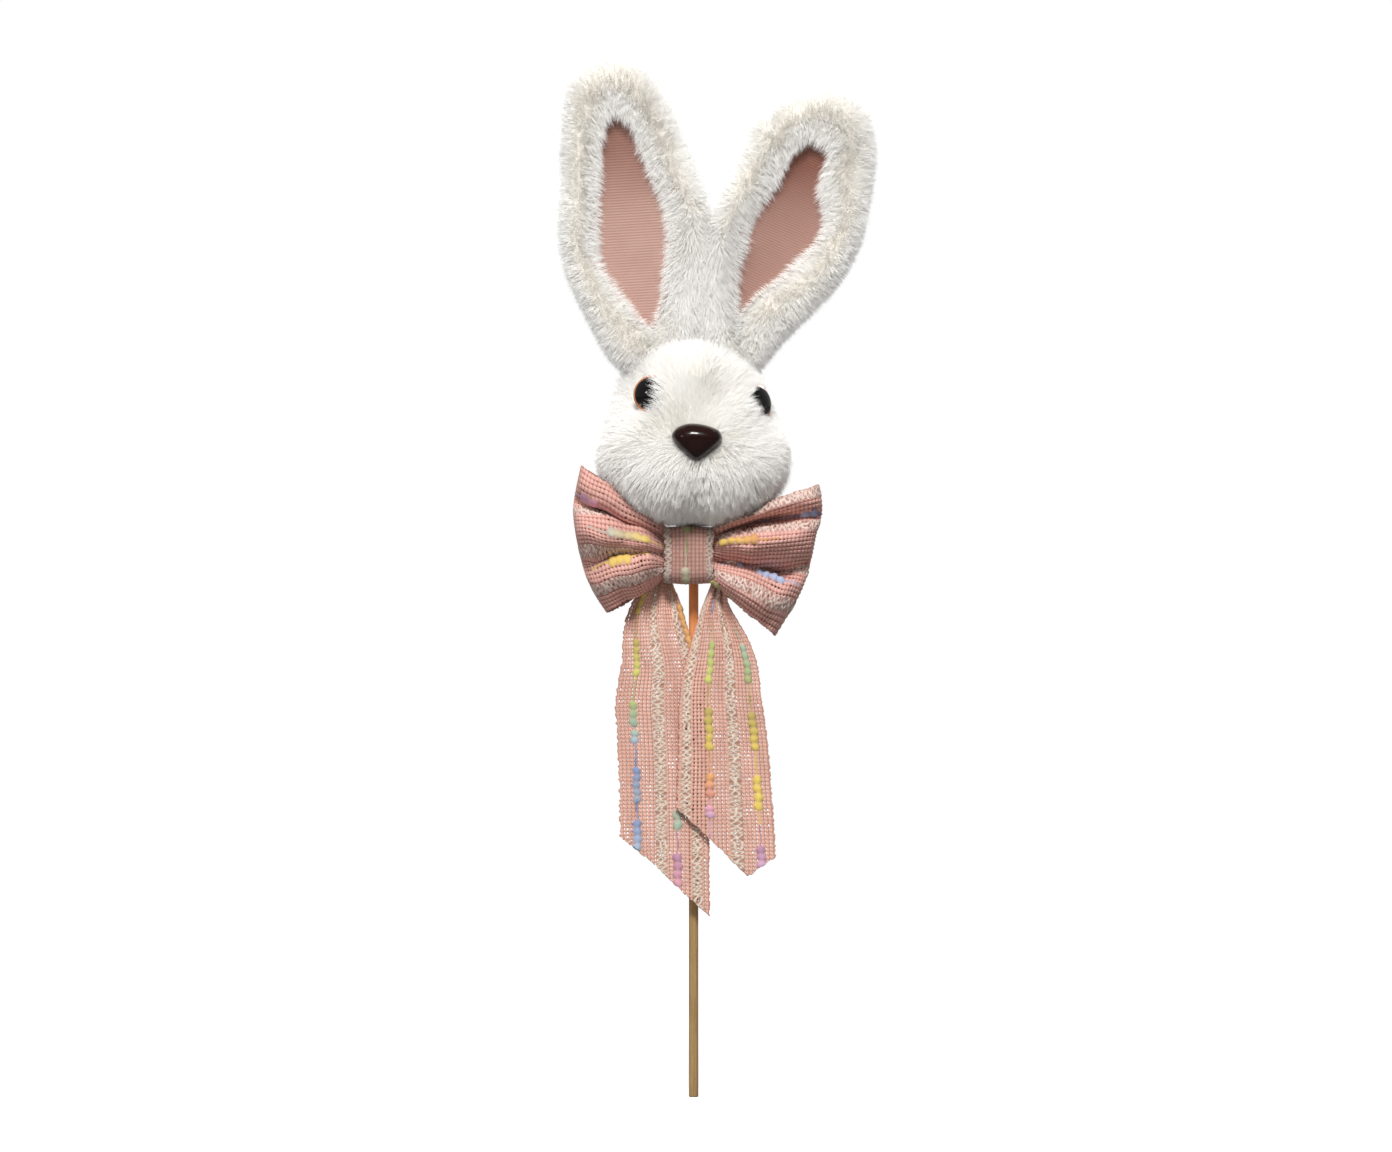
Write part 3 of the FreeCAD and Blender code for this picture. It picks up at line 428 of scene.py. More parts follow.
turns, stations = np.meshgrid(np.linspace(-math.pi, math.pi, 181)[:-1],
                              np.linspace(0, outline_length[-1], 110), indexing="ij")
skin_points, _ = on_head(turns, stations)
skin_faces = grid_faces(*turns.shape, closed=0).reshape(-1, 4)
head_skin = build_mesh("head_backing", skin_points.reshape(-1, 3), [skin_faces])
head_skin.data.materials.append(backing_material)
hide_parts("face_cover", "back_cover")
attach(head_skin, "head_and_stick")


def beside_eye(points, hand):
    """How near a root is to an eye's rim, how far on the nose's side, and the
    sign of that side along X."""
    off = points - EYE[hand]
    inward = 1 if hand == "left" else -1
    near = np.exp(-((np.hypot(off[:, 0], off[:, 2]) - 5 * MM) / (5 * MM)) ** 2) * (points[:, 1] < 0)
    return near, np.clip(off[:, 0] * inward / (5 * MM), -1, 1), inward


def combed(points, normals):
    """Lean of the head's pile: away from the nose over the face, down on the
    chin and neck, swept back over the crown, and over the eyes' inner sides."""
    away = unit(points - nose_middle)
    front = np.clip(-normals[:, 1:2], 0, 1)
    down = np.array([0, 0, -1.0])
    rise = np.clip((points[:, 2:3] - nose_middle[2]) / (35 * MM), -1, 1)
    swept_back = np.array([0, 0.3, 0.0])
    flow = front * away * 0.45 + (1 - front) * swept_back + down * np.clip(0.1 - 0.75 * rise, 0, 1)
    slow = np.stack([np.sin(points[:, 1] / (5.2 * MM) + points[:, 2] / (7.3 * MM)),
                     np.sin(points[:, 2] / (6.1 * MM) - points[:, 0] / (4.7 * MM)),
                     np.sin(points[:, 0] / (5.6 * MM) + points[:, 1] / (6.6 * MM))], -1)
    flow = flow + 0.16 * slow
    for hand in EYE:
        near, inner, inward = beside_eye(points, hand)
        flow += (near * np.clip(inner, 0, 1) * -0.3)[:, None] * np.array([inward, 0, 0.1])
    return flow - normals * np.sum(flow * normals, -1, keepdims=True)


def head_pile_length(points):
    """Pile length: short about the nose and eyes, longest on the chin."""
    length = np.full(len(points), 7.6 * MM)
    length -= mound(points, nose_middle + np.array([0, 0, 6]) * MM, 11 * MM, 4.4 * MM)
    length += np.clip((points[:, 2] - 316 * MM) / (12 * MM), 0, 1) * 2.5 * MM
    for hand in EYE:
        near, inner, _ = beside_eye(points, hand)
        length += near * np.where(inner > 0, 0.5 * inner, 3.8 * inner) * MM
    length += mound(points, np.array([-27, -4, 297]) * MM, np.array([6, 8, 13]) * MM, 3.0 * MM)
    length += mound(points, np.array([29, 6, 296]) * MM, np.array([6, 8, 12]) * MM, 2.0 * MM)
    length += np.clip((256 * MM - points[:, 2]) / (18 * MM), 0, 1) * 4.4 * MM
    return length


strands_per_area = 9.0 / MM ** 2
strand_half = 0.06 * MM
rng = np.random.default_rng(11)
ring = outline[:, 0]
weights = np.concatenate([[0], np.cumsum((ring[1:] + ring[:-1]) / 2 * np.diff(outline_length))])
total = int(weights[-1] * 2 * math.pi * strands_per_area)
station = np.interp(rng.uniform(0, weights[-1], total), weights, outline_length)
turn = rng.uniform(-math.pi, math.pi, total)
roots, normals = on_head(turn, station)
clear = np.ones(total, bool)
for hand in EYE:
    half_across, half_up = (6.2, 8.4) if hand == "left" else (5.2, 5.8)
    eye_x, eye_z = (-20.6, 293.9) if hand == "left" else (26.9, 290.8)
    over_eye = ((roots[:, 0] / MM - eye_x) / half_across) ** 2 + ((roots[:, 2] / MM - eye_z) / half_up) ** 2
    clear &= (over_eye > 1) | (roots[:, 1] > EYE[hand][1] + 8 * MM)
nose_off = (roots - nose_middle) / MM
under_nose = (np.abs(nose_off[:, 0]) < 5.6 + 0.5 * nose_off[:, 2]) & (np.abs(nose_off[:, 2]) < 4.8)
clear &= ~under_nose | (roots[:, 1] > 0)
by_stick = (np.hypot(roots[:, 0], roots[:, 1]) < 6 * MM) & (roots[:, 2] < chin + 14 * MM)
clear &= ~by_stick
roots, normals = roots[clear], normals[clear]
front = roots[:, 1] < 4 * MM
for label, chosen in (("face_pile", front), ("back_pile", ~front)):
    held, facing = roots[chosen], normals[chosen]
    tufted = 1 - eased(held[:, 2:], 246 * MM, 268 * MM)
    smooth = eased(held[:, 2:], 262 * MM, 290 * MM) - eased(held[:, 2:], 304 * MM, 318 * MM)
    forehead = mound(held, np.array([4, -26, 304]) * MM, np.array([14, 14, 9]) * MM, 0.25)[:, None]
    grow_pile(label, "head_and_stick", held, facing, combed(held, facing), head_pile_length(held),
              strand_half, 21 + int(chosen[0]), gather=0.18 + 0.3 * tufted,
              soften=0.05 + 0.17 * smooth + forehead)

# ---------------------------------------------------------------------------
# The ears: plush cut to a leaf and rolled to the front round a wire, so a
# thick soft rim stands round a sunk lining.  They are sewn to the crown.
# ---------------------------------------------------------------------------


def curve_through(points, count):
    """A smooth line through points, evenly spaced along its length."""
    points = np.asarray(points, float)
    ends = np.concatenate([[2 * points[0] - points[1]], points, [2 * points[-1] - points[-2]]])
    t = np.linspace(0, 1, 24, endpoint=False)[:, None]
    parts = []
    for p0, p1, p2, p3 in zip(ends[:-3], ends[1:-2], ends[2:-1], ends[3:]):
        parts.append(p1 + 0.5 * t * (p2 - p0 + t * (2 * p0 - 5 * p1 + 4 * p2 - p3
                                                    + t * (3 * p1 - p0 - 3 * p2 + p3))))
    line = np.concatenate(parts + [points[-1:]])
    length = np.concatenate([[0], np.cumsum(np.linalg.norm(np.diff(line, axis=0), axis=1))])
    even = np.linspace(0, length[-1], count)
    return np.stack([np.interp(even, length, line[:, i]) for i in range(line.shape[1])], -1)


EARS = {
    "left": {
        "outer_left": [(-22, 298), (-33, 307), (-40, 318), (-50, 337), (-54.3, 350), (-56.3, 364), (-55, 382),
                       (-54.4, 397), (-52.4, 411), (-47.4, 422.5), (-36.5, 430)],
        "outer_right": [(-22, 298), (-6, 304), (5, 320), (10, 342), (8.6, 364), (4.6, 378), (-0.8, 392),
                        (-6.6, 404), (-12.4, 413.5), (-19, 421.5), (-27, 427.6), (-36.5, 430)],
        "lining_left": [(-17, 321), (-22.3, 326.5), (-30.7, 336), (-37.5, 345.5), (-41, 354), (-40, 367),
                        (-40.5, 378), (-39.8, 390), (-38, 400), (-34.4, 410)],
        "lining_right": [(-17, 321), (-13.4, 333), (-12, 344), (-11, 358), (-11.4, 370), (-13.8, 377.5),
                         (-17.6, 385), (-20.8, 394.5), (-26.4, 404), (-34.4, 410)],
    },
    "right": {
        "outer_left": [(22, 298), (8, 305), (-1, 322), (1, 345), (6.2, 365), (12.6, 380), (17.9, 389),
                       (23.5, 397), (28.6, 406.6), (32.0, 405.4), (38.4, 411.6), (47.7, 415.4), (56, 417)],
        "outer_right": [(22, 298), (29, 307), (38.4, 317.3), (47.7, 326.6), (57, 336), (64.5, 346.2),
                        (68.6, 355.5), (72.4, 368), (74.2, 382), (75, 391), (74, 398), (70, 407), (64, 414),
                        (56, 417)],
        "lining_left": [(16.8, 323), (17.6, 338), (18.8, 349), (21.3, 358.5), (23.8, 367.5), (29.1, 374.5),
                        (34.7, 383.5), (39.4, 391), (47.5, 398.5)],
        "lining_right": [(16.8, 323), (20.5, 330), (27, 337), (35, 342), (44, 350), (49, 355), (54.5, 363),
                         (54.7, 371), (52.6, 378), (53.6, 386), (56, 392), (47.5, 398.5)],
    },
}
ear_pile = 5.2 * MM
around, through_rim = ((150, 30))


def ear_curves(hand, count):
    """Closed outer and lining outlines from the foot up one side and down the
    other, the lining's tucked out under the rim, and the line midway between
    the outer sides, as (x, z) in metres."""
    shape = {key: curve_through(points, count) * MM for key, points in EARS[hand].items()}
    outer = np.concatenate([shape["outer_right"], shape["outer_left"][::-1]])
    inner = np.concatenate([shape["lining_right"], shape["lining_left"][::-1]])
    high = eased(inner[:, 1:], np.max(inner[:, 1]) - 14 * MM, np.max(inner[:, 1]))
    tucked = (2.2 + 3.0 * high) * MM
    inner = inner + unit(outer - inner) * tucked
    spine = (shape["outer_right"] + shape["outer_left"]) / 2
    return outer, inner, np.concatenate([spine, spine[::-1]])


def ear_surface(hand, a, c):
    """Point of the ear's backing: a runs round the outline, c from the
    lining's edge (0) over the rim to the outer edge (0.5) and to the back (1)."""
    outer, inner, spine = ear_curves(hand, 200)
    place = a * (len(outer) - 1)

    def along(line):
        return np.stack([np.interp(place, np.arange(len(line)), line[:, i]) for i in (0, 1)], -1)

    out, lin, mid = along(outer), along(inner), along(spine)
    inward = unit(lin - out)
    tip = eased(out[..., 1:], np.max(outer[:, 1]) - 30 * MM, np.max(outer[:, 1]))
    edge = out + inward * ear_pile * (0.5 - 1.1 * tip)
    front = np.clip(c / 0.5, 0, 1)[..., None]
    back = np.clip(c / 0.5 - 1, 0, 1)[..., None]
    flat = lin + (edge - lin) * (1 - (1 - front) ** 1.3)
    flat = np.where(back > 0, edge + (mid - edge) * (1 - np.cos(back * math.pi / 2)), flat)
    high = eased(lin[..., 1:], np.max(inner[:, 1]) - 24 * MM, np.max(inner[:, 1]))
    crest = (6.4 + 2.0 * high) * MM
    sunk = (2.6 + 2.5 * high) * MM
    lift = sunk + (crest - sunk) * np.sin(np.clip(front * 1.9, 0, 1) * math.pi / 2)
    lift = lift * np.sqrt(np.clip(1 - np.clip(front * 1.9 - 0.9, 0, 1) ** 2, 0, 1))
    y = -lift + 3.6 * MM * np.sin(back * math.pi / 2)
    return np.concatenate([flat[..., :1], y, flat[..., 1:]], -1)


def surface_frame(surface, a, c, step=0.004):
    """Normals of a surface and its direction along c, by differences."""
    da = surface(np.clip(a + step, 0, 1), c) - surface(np.clip(a - step, 0, 1), c)
    dc = surface(a, np.clip(c + step, 0, 1)) - surface(a, np.clip(c - step, 0, 1))
    normal = unit(np.cross(dc, da))
    return normal, unit(dc)


for hand in ("left", "right"):
    def surface(a, c, hand=hand):
        return ear_surface(hand, a, c)

    a, c = np.meshgrid(np.linspace(0, 1, around), np.linspace(0, 1, through_rim), indexing="ij")
    skin = surface(a, c)
    ear_skin = build_mesh(hand + "_ear_backing", skin.reshape(-1, 3), [grid_faces(*a.shape).reshape(-1, 4)])
    ear_skin.data.materials.append(backing_material)
    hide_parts(hand + "_ear_fur")
    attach(ear_skin, hand + "_ear")

    rng = np.random.default_rng(31 if hand == "left" else 32)
    along_a, along_c = skin[1:, :-1] - skin[:-1, :-1], skin[:-1, 1:] - skin[:-1, :-1]
    size = np.linalg.norm(np.cross(along_a, along_c), axis=-1)
    chance = size / size.sum()
    total = int(size.sum() * strands_per_area)
    picked = rng.choice(size.size, total, p=chance.ravel())
    row, col = np.unravel_index(picked, size.shape)
    ra = (row + rng.uniform(0, 1, total)) / (around - 1)
    rc = (col + rng.uniform(0, 1, total)) / (through_rim - 1)
    roots = surface(ra, rc)
    normals, outward = surface_frame(surface, ra, rc)
    normals = normals * -np.sign(np.mean(normals[(rc > 0.2) & (rc < 0.3), 1]))
    rim = np.clip(rc / 0.5, 0, 1)[:, None]
    fringe = np.clip(1 - rc / 0.16, 0, 1)[:, None]
    in_front = (rc < 0.5)[:, None]
    swirl = np.stack([np.sin(roots[:, 2] / (4.3 * MM)), 0 * rc,
                      np.cos(roots[:, 0] / (3.7 * MM) + roots[:, 2] / (6.1 * MM))], -1)
    lean = outward * ((rim - 0.35) * 0.8 - fringe * 0.5) * in_front
    lean = lean + np.array([0, 0, -0.25]) * fringe + 0.1 * in_front * swirl
    lean[:, 2] -= mound(roots, np.array([4, -5, 336]) * MM, np.array([17, 12, 20]) * MM, 1.1)
    long = ear_pile * (1.05 + 0.2 * fringe[:, 0])
    smooth = 0.42 + mound(roots, np.array([5, -5, 345]) * MM, np.array([12, 12, 22]) * MM, 1.0)[:, None]
    grow_pile(hand + "_ear_pile", hand + "_ear", roots, normals, lean, long, strand_half * 0.95, 41,
              soften=smooth)

# ---------------------------------------------------------------------------
# The ears' linings: pink twill, stretched over each ear's wire and sewn in
# behind the plush rim.  Its colour is darkened towards the tip and on the
# right ear with painted shade.
# ---------------------------------------------------------------------------

twill, twill_finish = finish_of("pink_twill", Roughness=0.8, Specular_IOR_Level=0.2, Sheen_Weight=0.2)
where = texture_at(twill)
sides = [twill.node("ShaderNodeSeparateXYZ", i, Vector=where) for i in range(3)]
right_side = sides[0].band(4.0, 6.0)
rise = sides[2] - sides[0] * (0.06 + right_side * -0.5)
rib = (rise / 1.15).wave()
stitch = ((sides[0] + sides[2] * 0.3) / 0.8).wave()
cloudy = noise(twill, where, 0.09, 3)
pink = cloudy.mix(tone(180, 143, 131), tone(198, 163, 151))
pink = (rib * 0.3 + stitch * 0.12).mix(pink, tone(162, 120, 108))
# Painted shade: darker towards the tip of each lining, under the rim, and across the right ear's lining.
pink = (right_side * 0.42 + sides[2].band(358, 402) * 0.75).mix(pink, tone(128, 86, 74))
lines = twill.node("ShaderNodeBump", Strength=0.5, Distance=0.25 * MM, Height=rib * -1.0 + stitch * 0.3)
twill_material = twill_finish(Base_Color=pink, Normal=lines)
for hand in ("left", "right"):
    across, up = 30, 70
    edge = ear_curves(hand, up)[1]
    right_line, left_line = edge[:up], edge[up:][::-1]
    t = np.linspace(0, 1, across)[:, None, None]
    spread = left_line[None] * (1 - t) + right_line[None] * t
    tucked_under = 1.06
    centre = (left_line + right_line) / 2
    spread = centre[None] + (spread - centre[None]) * tucked_under
    sag = (4 * t * (1 - t))[..., 0] * np.ones((1, up))
    heights = spread[..., 1]
    y = -(1.75 + 2.2 * (1 - sag) + 1.2 * eased(heights, np.max(heights) - 24 * MM, np.max(heights))) * MM
    points = np.stack([spread[..., 0], y, spread[..., 1]], -1)
    faces = grid_faces(across, up).reshape(-1, 4)
    u, v = np.meshgrid(np.linspace(0.02, 0.98, across), np.linspace(0.02, 0.98, up), indexing="ij")
    uv = np.stack([u, v], -1).reshape(-1, 2)[faces].reshape(-1, 2)
    cloth = build_mesh(hand + "_ear_lining_cloth", points.reshape(-1, 3), [faces], uv)
    cloth.data.materials.append(twill_material)
    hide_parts(hand + "_ear_lining")
    long = float(np.ptp(points[..., 2]))
    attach(cloth, hand + "_ear")

# ---------------------------------------------------------------------------
# The eyes: glossy moulded domes, black with a thin amber ring at the rim,
# each over a black pupil disc and an amber back.  A stem and a washer inside
# the head hold each one.
# ---------------------------------------------------------------------------

eye_glass, eye_glass_finish = finish_of("eye_dome", Roughness=0.05, Specular_IOR_Level=0.45)
on_dome = eye_glass.node("ShaderNodeUVMap", settings={"uv_map": "ring"})
from_middle = eye_glass.node("ShaderNodeSeparateXYZ", 0, Vector=on_dome)
on_right = eye_glass.node("ShaderNodeSeparateXYZ", 0, Vector=texture_at(eye_glass)).band(0.0, 1.0)
iris_ring = (from_middle + on_right * 0.07).band(0.88, 0.90)
cloud = noise(eye_glass, texture_at(eye_glass), 1.4, 3)
pupil_tone = cloud.mix(tone(6, 5, 5), tone(14, 10, 9))
ring_tone = cloud.mix(tone(186, 104, 56), tone(214, 134, 84))
eye_material = eye_glass_finish(Base_Color=iris_ring.mix(pupil_tone, ring_tone))
eye_lift = math.radians(10)
for hand, eye_swing in (("left", math.radians(-12)), ("right", math.radians(40))):
    axis = np.array([math.sin(eye_swing) * math.cos(eye_lift), -math.cos(eye_swing) * math.cos(eye_lift),
                     math.sin(eye_lift)])
    across_axis = unit(np.cross(axis, [0, 0, 1.0]))
    up_axis = np.cross(across_axis, axis)
    radius, dome, seat, flange = 8.0 * MM, 5.5 * MM, -1.5 * MM, 1.3 * MM
    out, turn_round = np.meshgrid(np.append(np.linspace(0, 1, 24), 1.0), np.linspace(0, math.tau, 73)[:-1],
                                  indexing="ij")
    ball = (radius ** 2 + (dome - flange) ** 2) / (2 * (dome - flange))
    rise = dome - ball + np.sqrt(ball ** 2 - (radius * out) ** 2)
    rise[-1] = 0
    round_axis = across_axis * np.cos(turn_round)[..., None] + up_axis * np.sin(turn_round)[..., None]
    points = EYE[hand] + axis * seat + axis * rise[..., None] + radius * out[..., None] * round_axis
    faces = grid_faces(*out.shape, closed=1).reshape(-1, 4)
    dome_obj = build_mesh(hand + "_eye_dome", points.reshape(-1, 3), [faces])
    ring_uv = dome_obj.data.uv_layers.new(name="ring")
    flat_uv = np.stack([out, turn_round / math.tau], -1).reshape(-1, 2)[faces].reshape(-1, 2)
    ring_uv.data.foreach_set("uv", flat_uv.astype(np.float32).ravel())
    bake = dome_obj.data.uv_layers.new(name="OFBake")
    disc = np.stack([out * np.cos(turn_round), out * np.sin(turn_round)], -1).reshape(-1, 2)
    bake.data.foreach_set("uv", (0.5 + 0.48 * disc[faces]).astype(np.float32).ravel())
    dome_obj.data.materials.append(eye_material)
    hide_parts(hand + "_eye_lens")
    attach(dome_obj, "head_and_stick")
black, black_finish = finish_of("black_pupil", Coat_Weight=1.0)
speck = noise(black, texture_at(black), 2.0, 2)
black_material = black_finish(Base_Color=speck.mix(tone(8, 7, 7), tone(20, 16, 15)), Roughness=0.15)
amber, amber_finish = finish_of("amber_back", Coat_Weight=1.0)
ray = noise(amber, texture_at(amber), 2.6, 3)
amber_tone = ray.band(0.3, 0.7).mix(tone(150, 78, 22), tone(206, 122, 44))
amber_material = amber_finish(Base_Color=amber_tone, Roughness=0.25)
for hand in ("left", "right"):
    for part, material in (("pupil", black_material), ("back", amber_material)):
        nodes["%s_eye_%s" % (hand, part)].material_slots[0].material = material

# ---------------------------------------------------------------------------
# The nose: a glossy dark brown button, moulded with a brow and a shallow
# groove, its stem pushed through the plush and held by a washer.
# ---------------------------------------------------------------------------

brown, brown_finish = finish_of("brown_nose", Coat_Weight=0.3, Coat_Roughness=0.06, Specular_IOR_Level=0.1)
cloud = noise(brown, texture_at(brown), 0.5, 3)
pit = noise(brown, texture_at(brown), 2.2, 2)
soft_pit = brown.node("ShaderNodeBump", Strength=0.12, Distance=0.15 * MM, Height=pit)
nose_material = brown_finish(Base_Color=cloud.mix(tone(24, 9, 5), tone(42, 19, 12)),
                             Roughness=cloud * 0.1 + 0.2, Normal=soft_pit)
rim = curve_through([(0.1, -7.75), (2.9, -6.4), (6.4, -3.7), (9.3, -0.7), (10.4, 1.8), (9.8, 3.9), (8, 5.5),
                     (3.4, 7.1), (-1.7, 7.75), (-5.2, 7.3), (-8.7, 5.6), (-10.4, 2.4), (-8.3, -1.4),
                     (-5.2, -4.6), (-2.2, -7.1), (0.1, -7.75)], 97)[:-1] * MM
nose_back = nose_low[1] + 6.5 * MM
ring_share = np.linspace(0, 1, 26)[:, None]
swell = np.clip(1 - ring_share ** 3.2, 0, 1) ** 0.55 * 6.2 * MM
flat = rim[None] * ring_share[..., None]
brow = np.exp(-((flat[..., 1] - 2.5 * MM) / (3.2 * MM)) ** 2) * 0.5 * MM
groove = np.exp(-(flat[..., 0] / (1.3 * MM)) ** 2) * np.clip(-flat[..., 1] / (6 * MM), 0, 1) * 0.5 * MM
depth = nose_back - swell - (brow - groove) * (1 - ring_share ** 4)
points = np.stack([nose_middle[0] + flat[..., 0], depth, nose_middle[2] + flat[..., 1]], -1)
skirt = points[-1:] + np.array([0, 2.5 * MM, 0])
points = np.concatenate([points, skirt])
faces = grid_faces(*points.shape[:2], closed=1)[..., [0, 3, 2, 1]].reshape(-1, 4)
share = np.concatenate([ring_share * 0.9, [[1.0]]]) * 0.48
spin = np.linspace(0, math.tau, len(rim) + 1)[:-1]
disc = 0.5 + np.stack([share * np.cos(spin), share * np.sin(spin)], -1).reshape(-1, 2)
nose_button = build_mesh("nose_button", points.reshape(-1, 3), [faces], disc[faces].reshape(-1, 2))
nose_button.data.materials.append(nose_material)
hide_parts("nose")
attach(nose_button, "head_and_stick")

# ---------------------------------------------------------------------------
# The ribbon: an open tweed weave of pink yarns with small holes between them,
# cream openwork stripes and thin threads that swell into coloured slubs.
# ---------------------------------------------------------------------------

YARN = {
    "yellow": (226, 196, 72), "olive": (176, 158, 62), "lime": (206, 206, 96), "green": (160, 176, 98),
    "pale_green": (196, 204, 150), "grey_green": (172, 176, 156), "teal": (150, 182, 160),
    "sky": (158, 184, 214), "blue": (104, 134, 184), "grey_blue": (146, 160, 178),
    "orange": (224, 158, 84), "amber": (206, 146, 66), "salmon": (222, 134, 104), "pink": (222, 150, 172),
    "lavender": (206, 160, 196), "violet": (168, 112, 152), "cream": (226, 214, 184),
}


def hash_noise(x, y, seed):
    """Value noise from 0 to 1 on a unit grid, smooth between its points."""
    ix, iy = np.floor(x).astype(np.int64), np.floor(y).astype(np.int64)
    fx, fy = x - ix, y - iy
    fx, fy = fx * fx * (3 - 2 * fx), fy * fy * (3 - 2 * fy)

    def value(i, j):
        n = (i * 374761393 + j * 668265263 + seed * 974634777) & 0xFFFFFFFF
        n = ((n ^ (n >> 13)) * 1274126177) & 0xFFFFFFFF
        return ((n ^ (n >> 16)) & 0xFFFF) / 65535.0

    top = value(ix, iy) * (1 - fx) + value(ix + 1, iy) * fx
    low = value(ix, iy + 1) * (1 - fx) + value(ix + 1, iy + 1) * fx
    return top * (1 - fy) + low * fy


def weave(s, t, pitch, stripes, slubs, seed):
    """Relief (mm), yarn colour with painted shade between the yarns, and open
    holes of the ribbon at s across and t along it, both in mm."""
    row, cell = np.floor(s / pitch), np.floor(t / pitch)
    ps, pt = s / pitch - row, t / pitch - cell
    ridge = 1 - np.abs(2 * ps - 1) ** 1.7
    bead = 1 - np.abs(2 * pt - 1) ** 1.5
    height = 0.34 * (0.15 * ridge + 0.85 * ridge * bead)
    tint = hash_noise(row + 0.5, np.zeros_like(s) + 0.5, seed)[..., None]
    slow = hash_noise(s / 6, t / 11, seed + 1)[..., None]
    fleck = hash_noise(row * 3.1 + 0.5, cell * 1.7 + 0.5, seed + 2)[..., None]
    base = np.array(tone(242, 196, 178)) * (1 - tint) + np.array(tone(230, 178, 161)) * tint
    base = base * (0.9 + 0.16 * slow) * (0.93 + 0.12 * fleck)
    # Painted shade: the colour darkens towards this tone between the yarns, where the weave's gaps lie in
    # shade.
    gap_shade_tone = np.array(tone(182, 122, 104))
    depth = np.clip(ridge * bead * 1.5, 0, 1)[..., None]
    colour = gap_shade_tone * (1 - depth) * 0.6 + base * (0.25 + 0.75 * depth)
    weft = np.clip(ridge * 1.3, 0, 1) * (1 - np.clip(bead * 1.6, 0, 1)) * (0.15 + 0.85 * fleck[..., 0] ** 1.5)
    weft = weft * 0.35
    colour = colour * (1 - weft[..., None]) + np.array(tone(246, 218, 200)) * weft[..., None]
    open_cell = hash_noise(row + 0.5, cell + 0.5, seed + 9)
    hole = pt < np.where(open_cell > 0.47, 0.45, 0.2)
    hole &= np.where(open_cell > 0.72, np.minimum(ps, 1 - ps), ps) < 0.2
    for centre, half in stripes:
        off = s - centre
        inside = np.abs(off) < half
        turn = t / 2.9 + 1.4 * hash_noise(t / 3.3, np.zeros_like(t) + centre, seed + 3)
        swing = half * (0.2 + 0.45 * hash_noise(t / 2.1, np.zeros_like(t) + centre, seed + 4))
        strand_a = np.abs(off - swing * np.sin(turn * math.tau) - 0.42 * half)
        strand_b = np.abs(off + swing * np.sin(turn * 1.17 * math.tau + 1) + 0.42 * half)
        skipped = hash_noise(cell + 0.5, row * 0 + centre, seed + 8) > 0.6
        cross = 0.25 + 3 * np.minimum(pt, 1 - pt) + 2 * skipped
        near = np.minimum(np.minimum(strand_a, strand_b), cross)
        cord = np.clip(1 - (near / 0.62) ** 2, 0, 1)
        # Painted shade and light: the stripe's ground is darker between the beads and lighter on them.
        ground = np.array(tone(182, 142, 124)) * (0.7 + 0.4 * bead[..., None])
        cream = np.array(tone(246, 232, 214)) * (0.75 + 0.3 * fleck)
        tinted = ground * (1 - cord[..., None]) + cream * cord[..., None]
        colour = np.where(inside[..., None], tinted, colour)
        height = np.where(inside, 0.16 * bead + 0.42 * cord, height)
        gap = np.abs(off - 0.6 * np.sin(turn * 3)) < 0.4
        wide = (np.abs((t / 3.1) % 1.0 - 0.25) < 0.10) | (np.abs((t / 3.1) % 1.0 - 0.75) < 0.06)
        hole = np.where(inside, gap & wide & (cord < 0.15), hole)
    for centre, start, end, first, last in slubs:
        wander = centre + 0.2 * np.sin(t * 0.7 + centre)
        share = np.clip((t - start) / max(end - start, 1e-3), 0, 1)[..., None]
        tint = np.array(tone(*YARN[first])) * (1 - share) + np.array(tone(*YARN[last])) * share
        tint = tint * 0.84 + 0.16 * np.array(tone(240, 222, 204))
        lump_length = 3.3
        count = max(1, round((end - start) / lump_length))
        phase = (t - start) / (end - start) * count
        swell = np.where((phase > 0) & (phase < count), 0.55 + 0.45 * np.abs(np.sin(phase * math.pi)), 0)
        swell = swell * (0.85 + 0.3 * hash_noise(np.floor(phase) + 0.5, np.zeros_like(t) + centre, seed + 5))
        side = (s - wander) / (1.95 * np.maximum(swell, 1e-3))
        fat = np.where(swell > 0, np.sqrt(np.clip(1 - side ** 2, 0, 1)), 0)
        fuzz = 0.16 * hash_noise(s * 2.4, t * 2.4, seed + 6)
        body = fat > 0.12
        height = np.where(body, np.maximum(height, 1.5 * fat * swell + fuzz), height)
        mottle = hash_noise(s * 1.7, t * 1.7, seed + 7)[..., None]
        shade = (0.62 + 0.42 * fat)[..., None] * (0.9 + 0.2 * mottle)
        colour = np.where(body[..., None], tint * shade, colour)
        tail = (t > start - 9) & (t < end + 9) & (np.abs(s - wander) < 0.3) & ~body
        colour = np.where(tail[..., None], tint * 0.9, colour)
        height = np.where(tail, height + 0.22, height)
        hole = hole & ~body & ~tail
    return height, colour, hole


tweed, tweed_finish = finish_of("tweed_ribbon", Roughness=0.9, Specular_IOR_Level=0.12, Sheen_Weight=0.1)
yarn = tweed.node("ShaderNodeAttribute", 0, {"attribute_name": "yarn"})
fibre = noise(tweed, texture_at(tweed), 2.6, 3)
shaded = tweed.node("ShaderNodeMix", 2, {"data_type": "RGBA", "blend_type": "MULTIPLY"}, Factor=1.0,
                    i6=yarn, i7=(0.8, 0.74, 0.72, 1))
tweed_material = tweed_finish(Base_Color=(fibre * 0.35).mix(yarn, shaded))


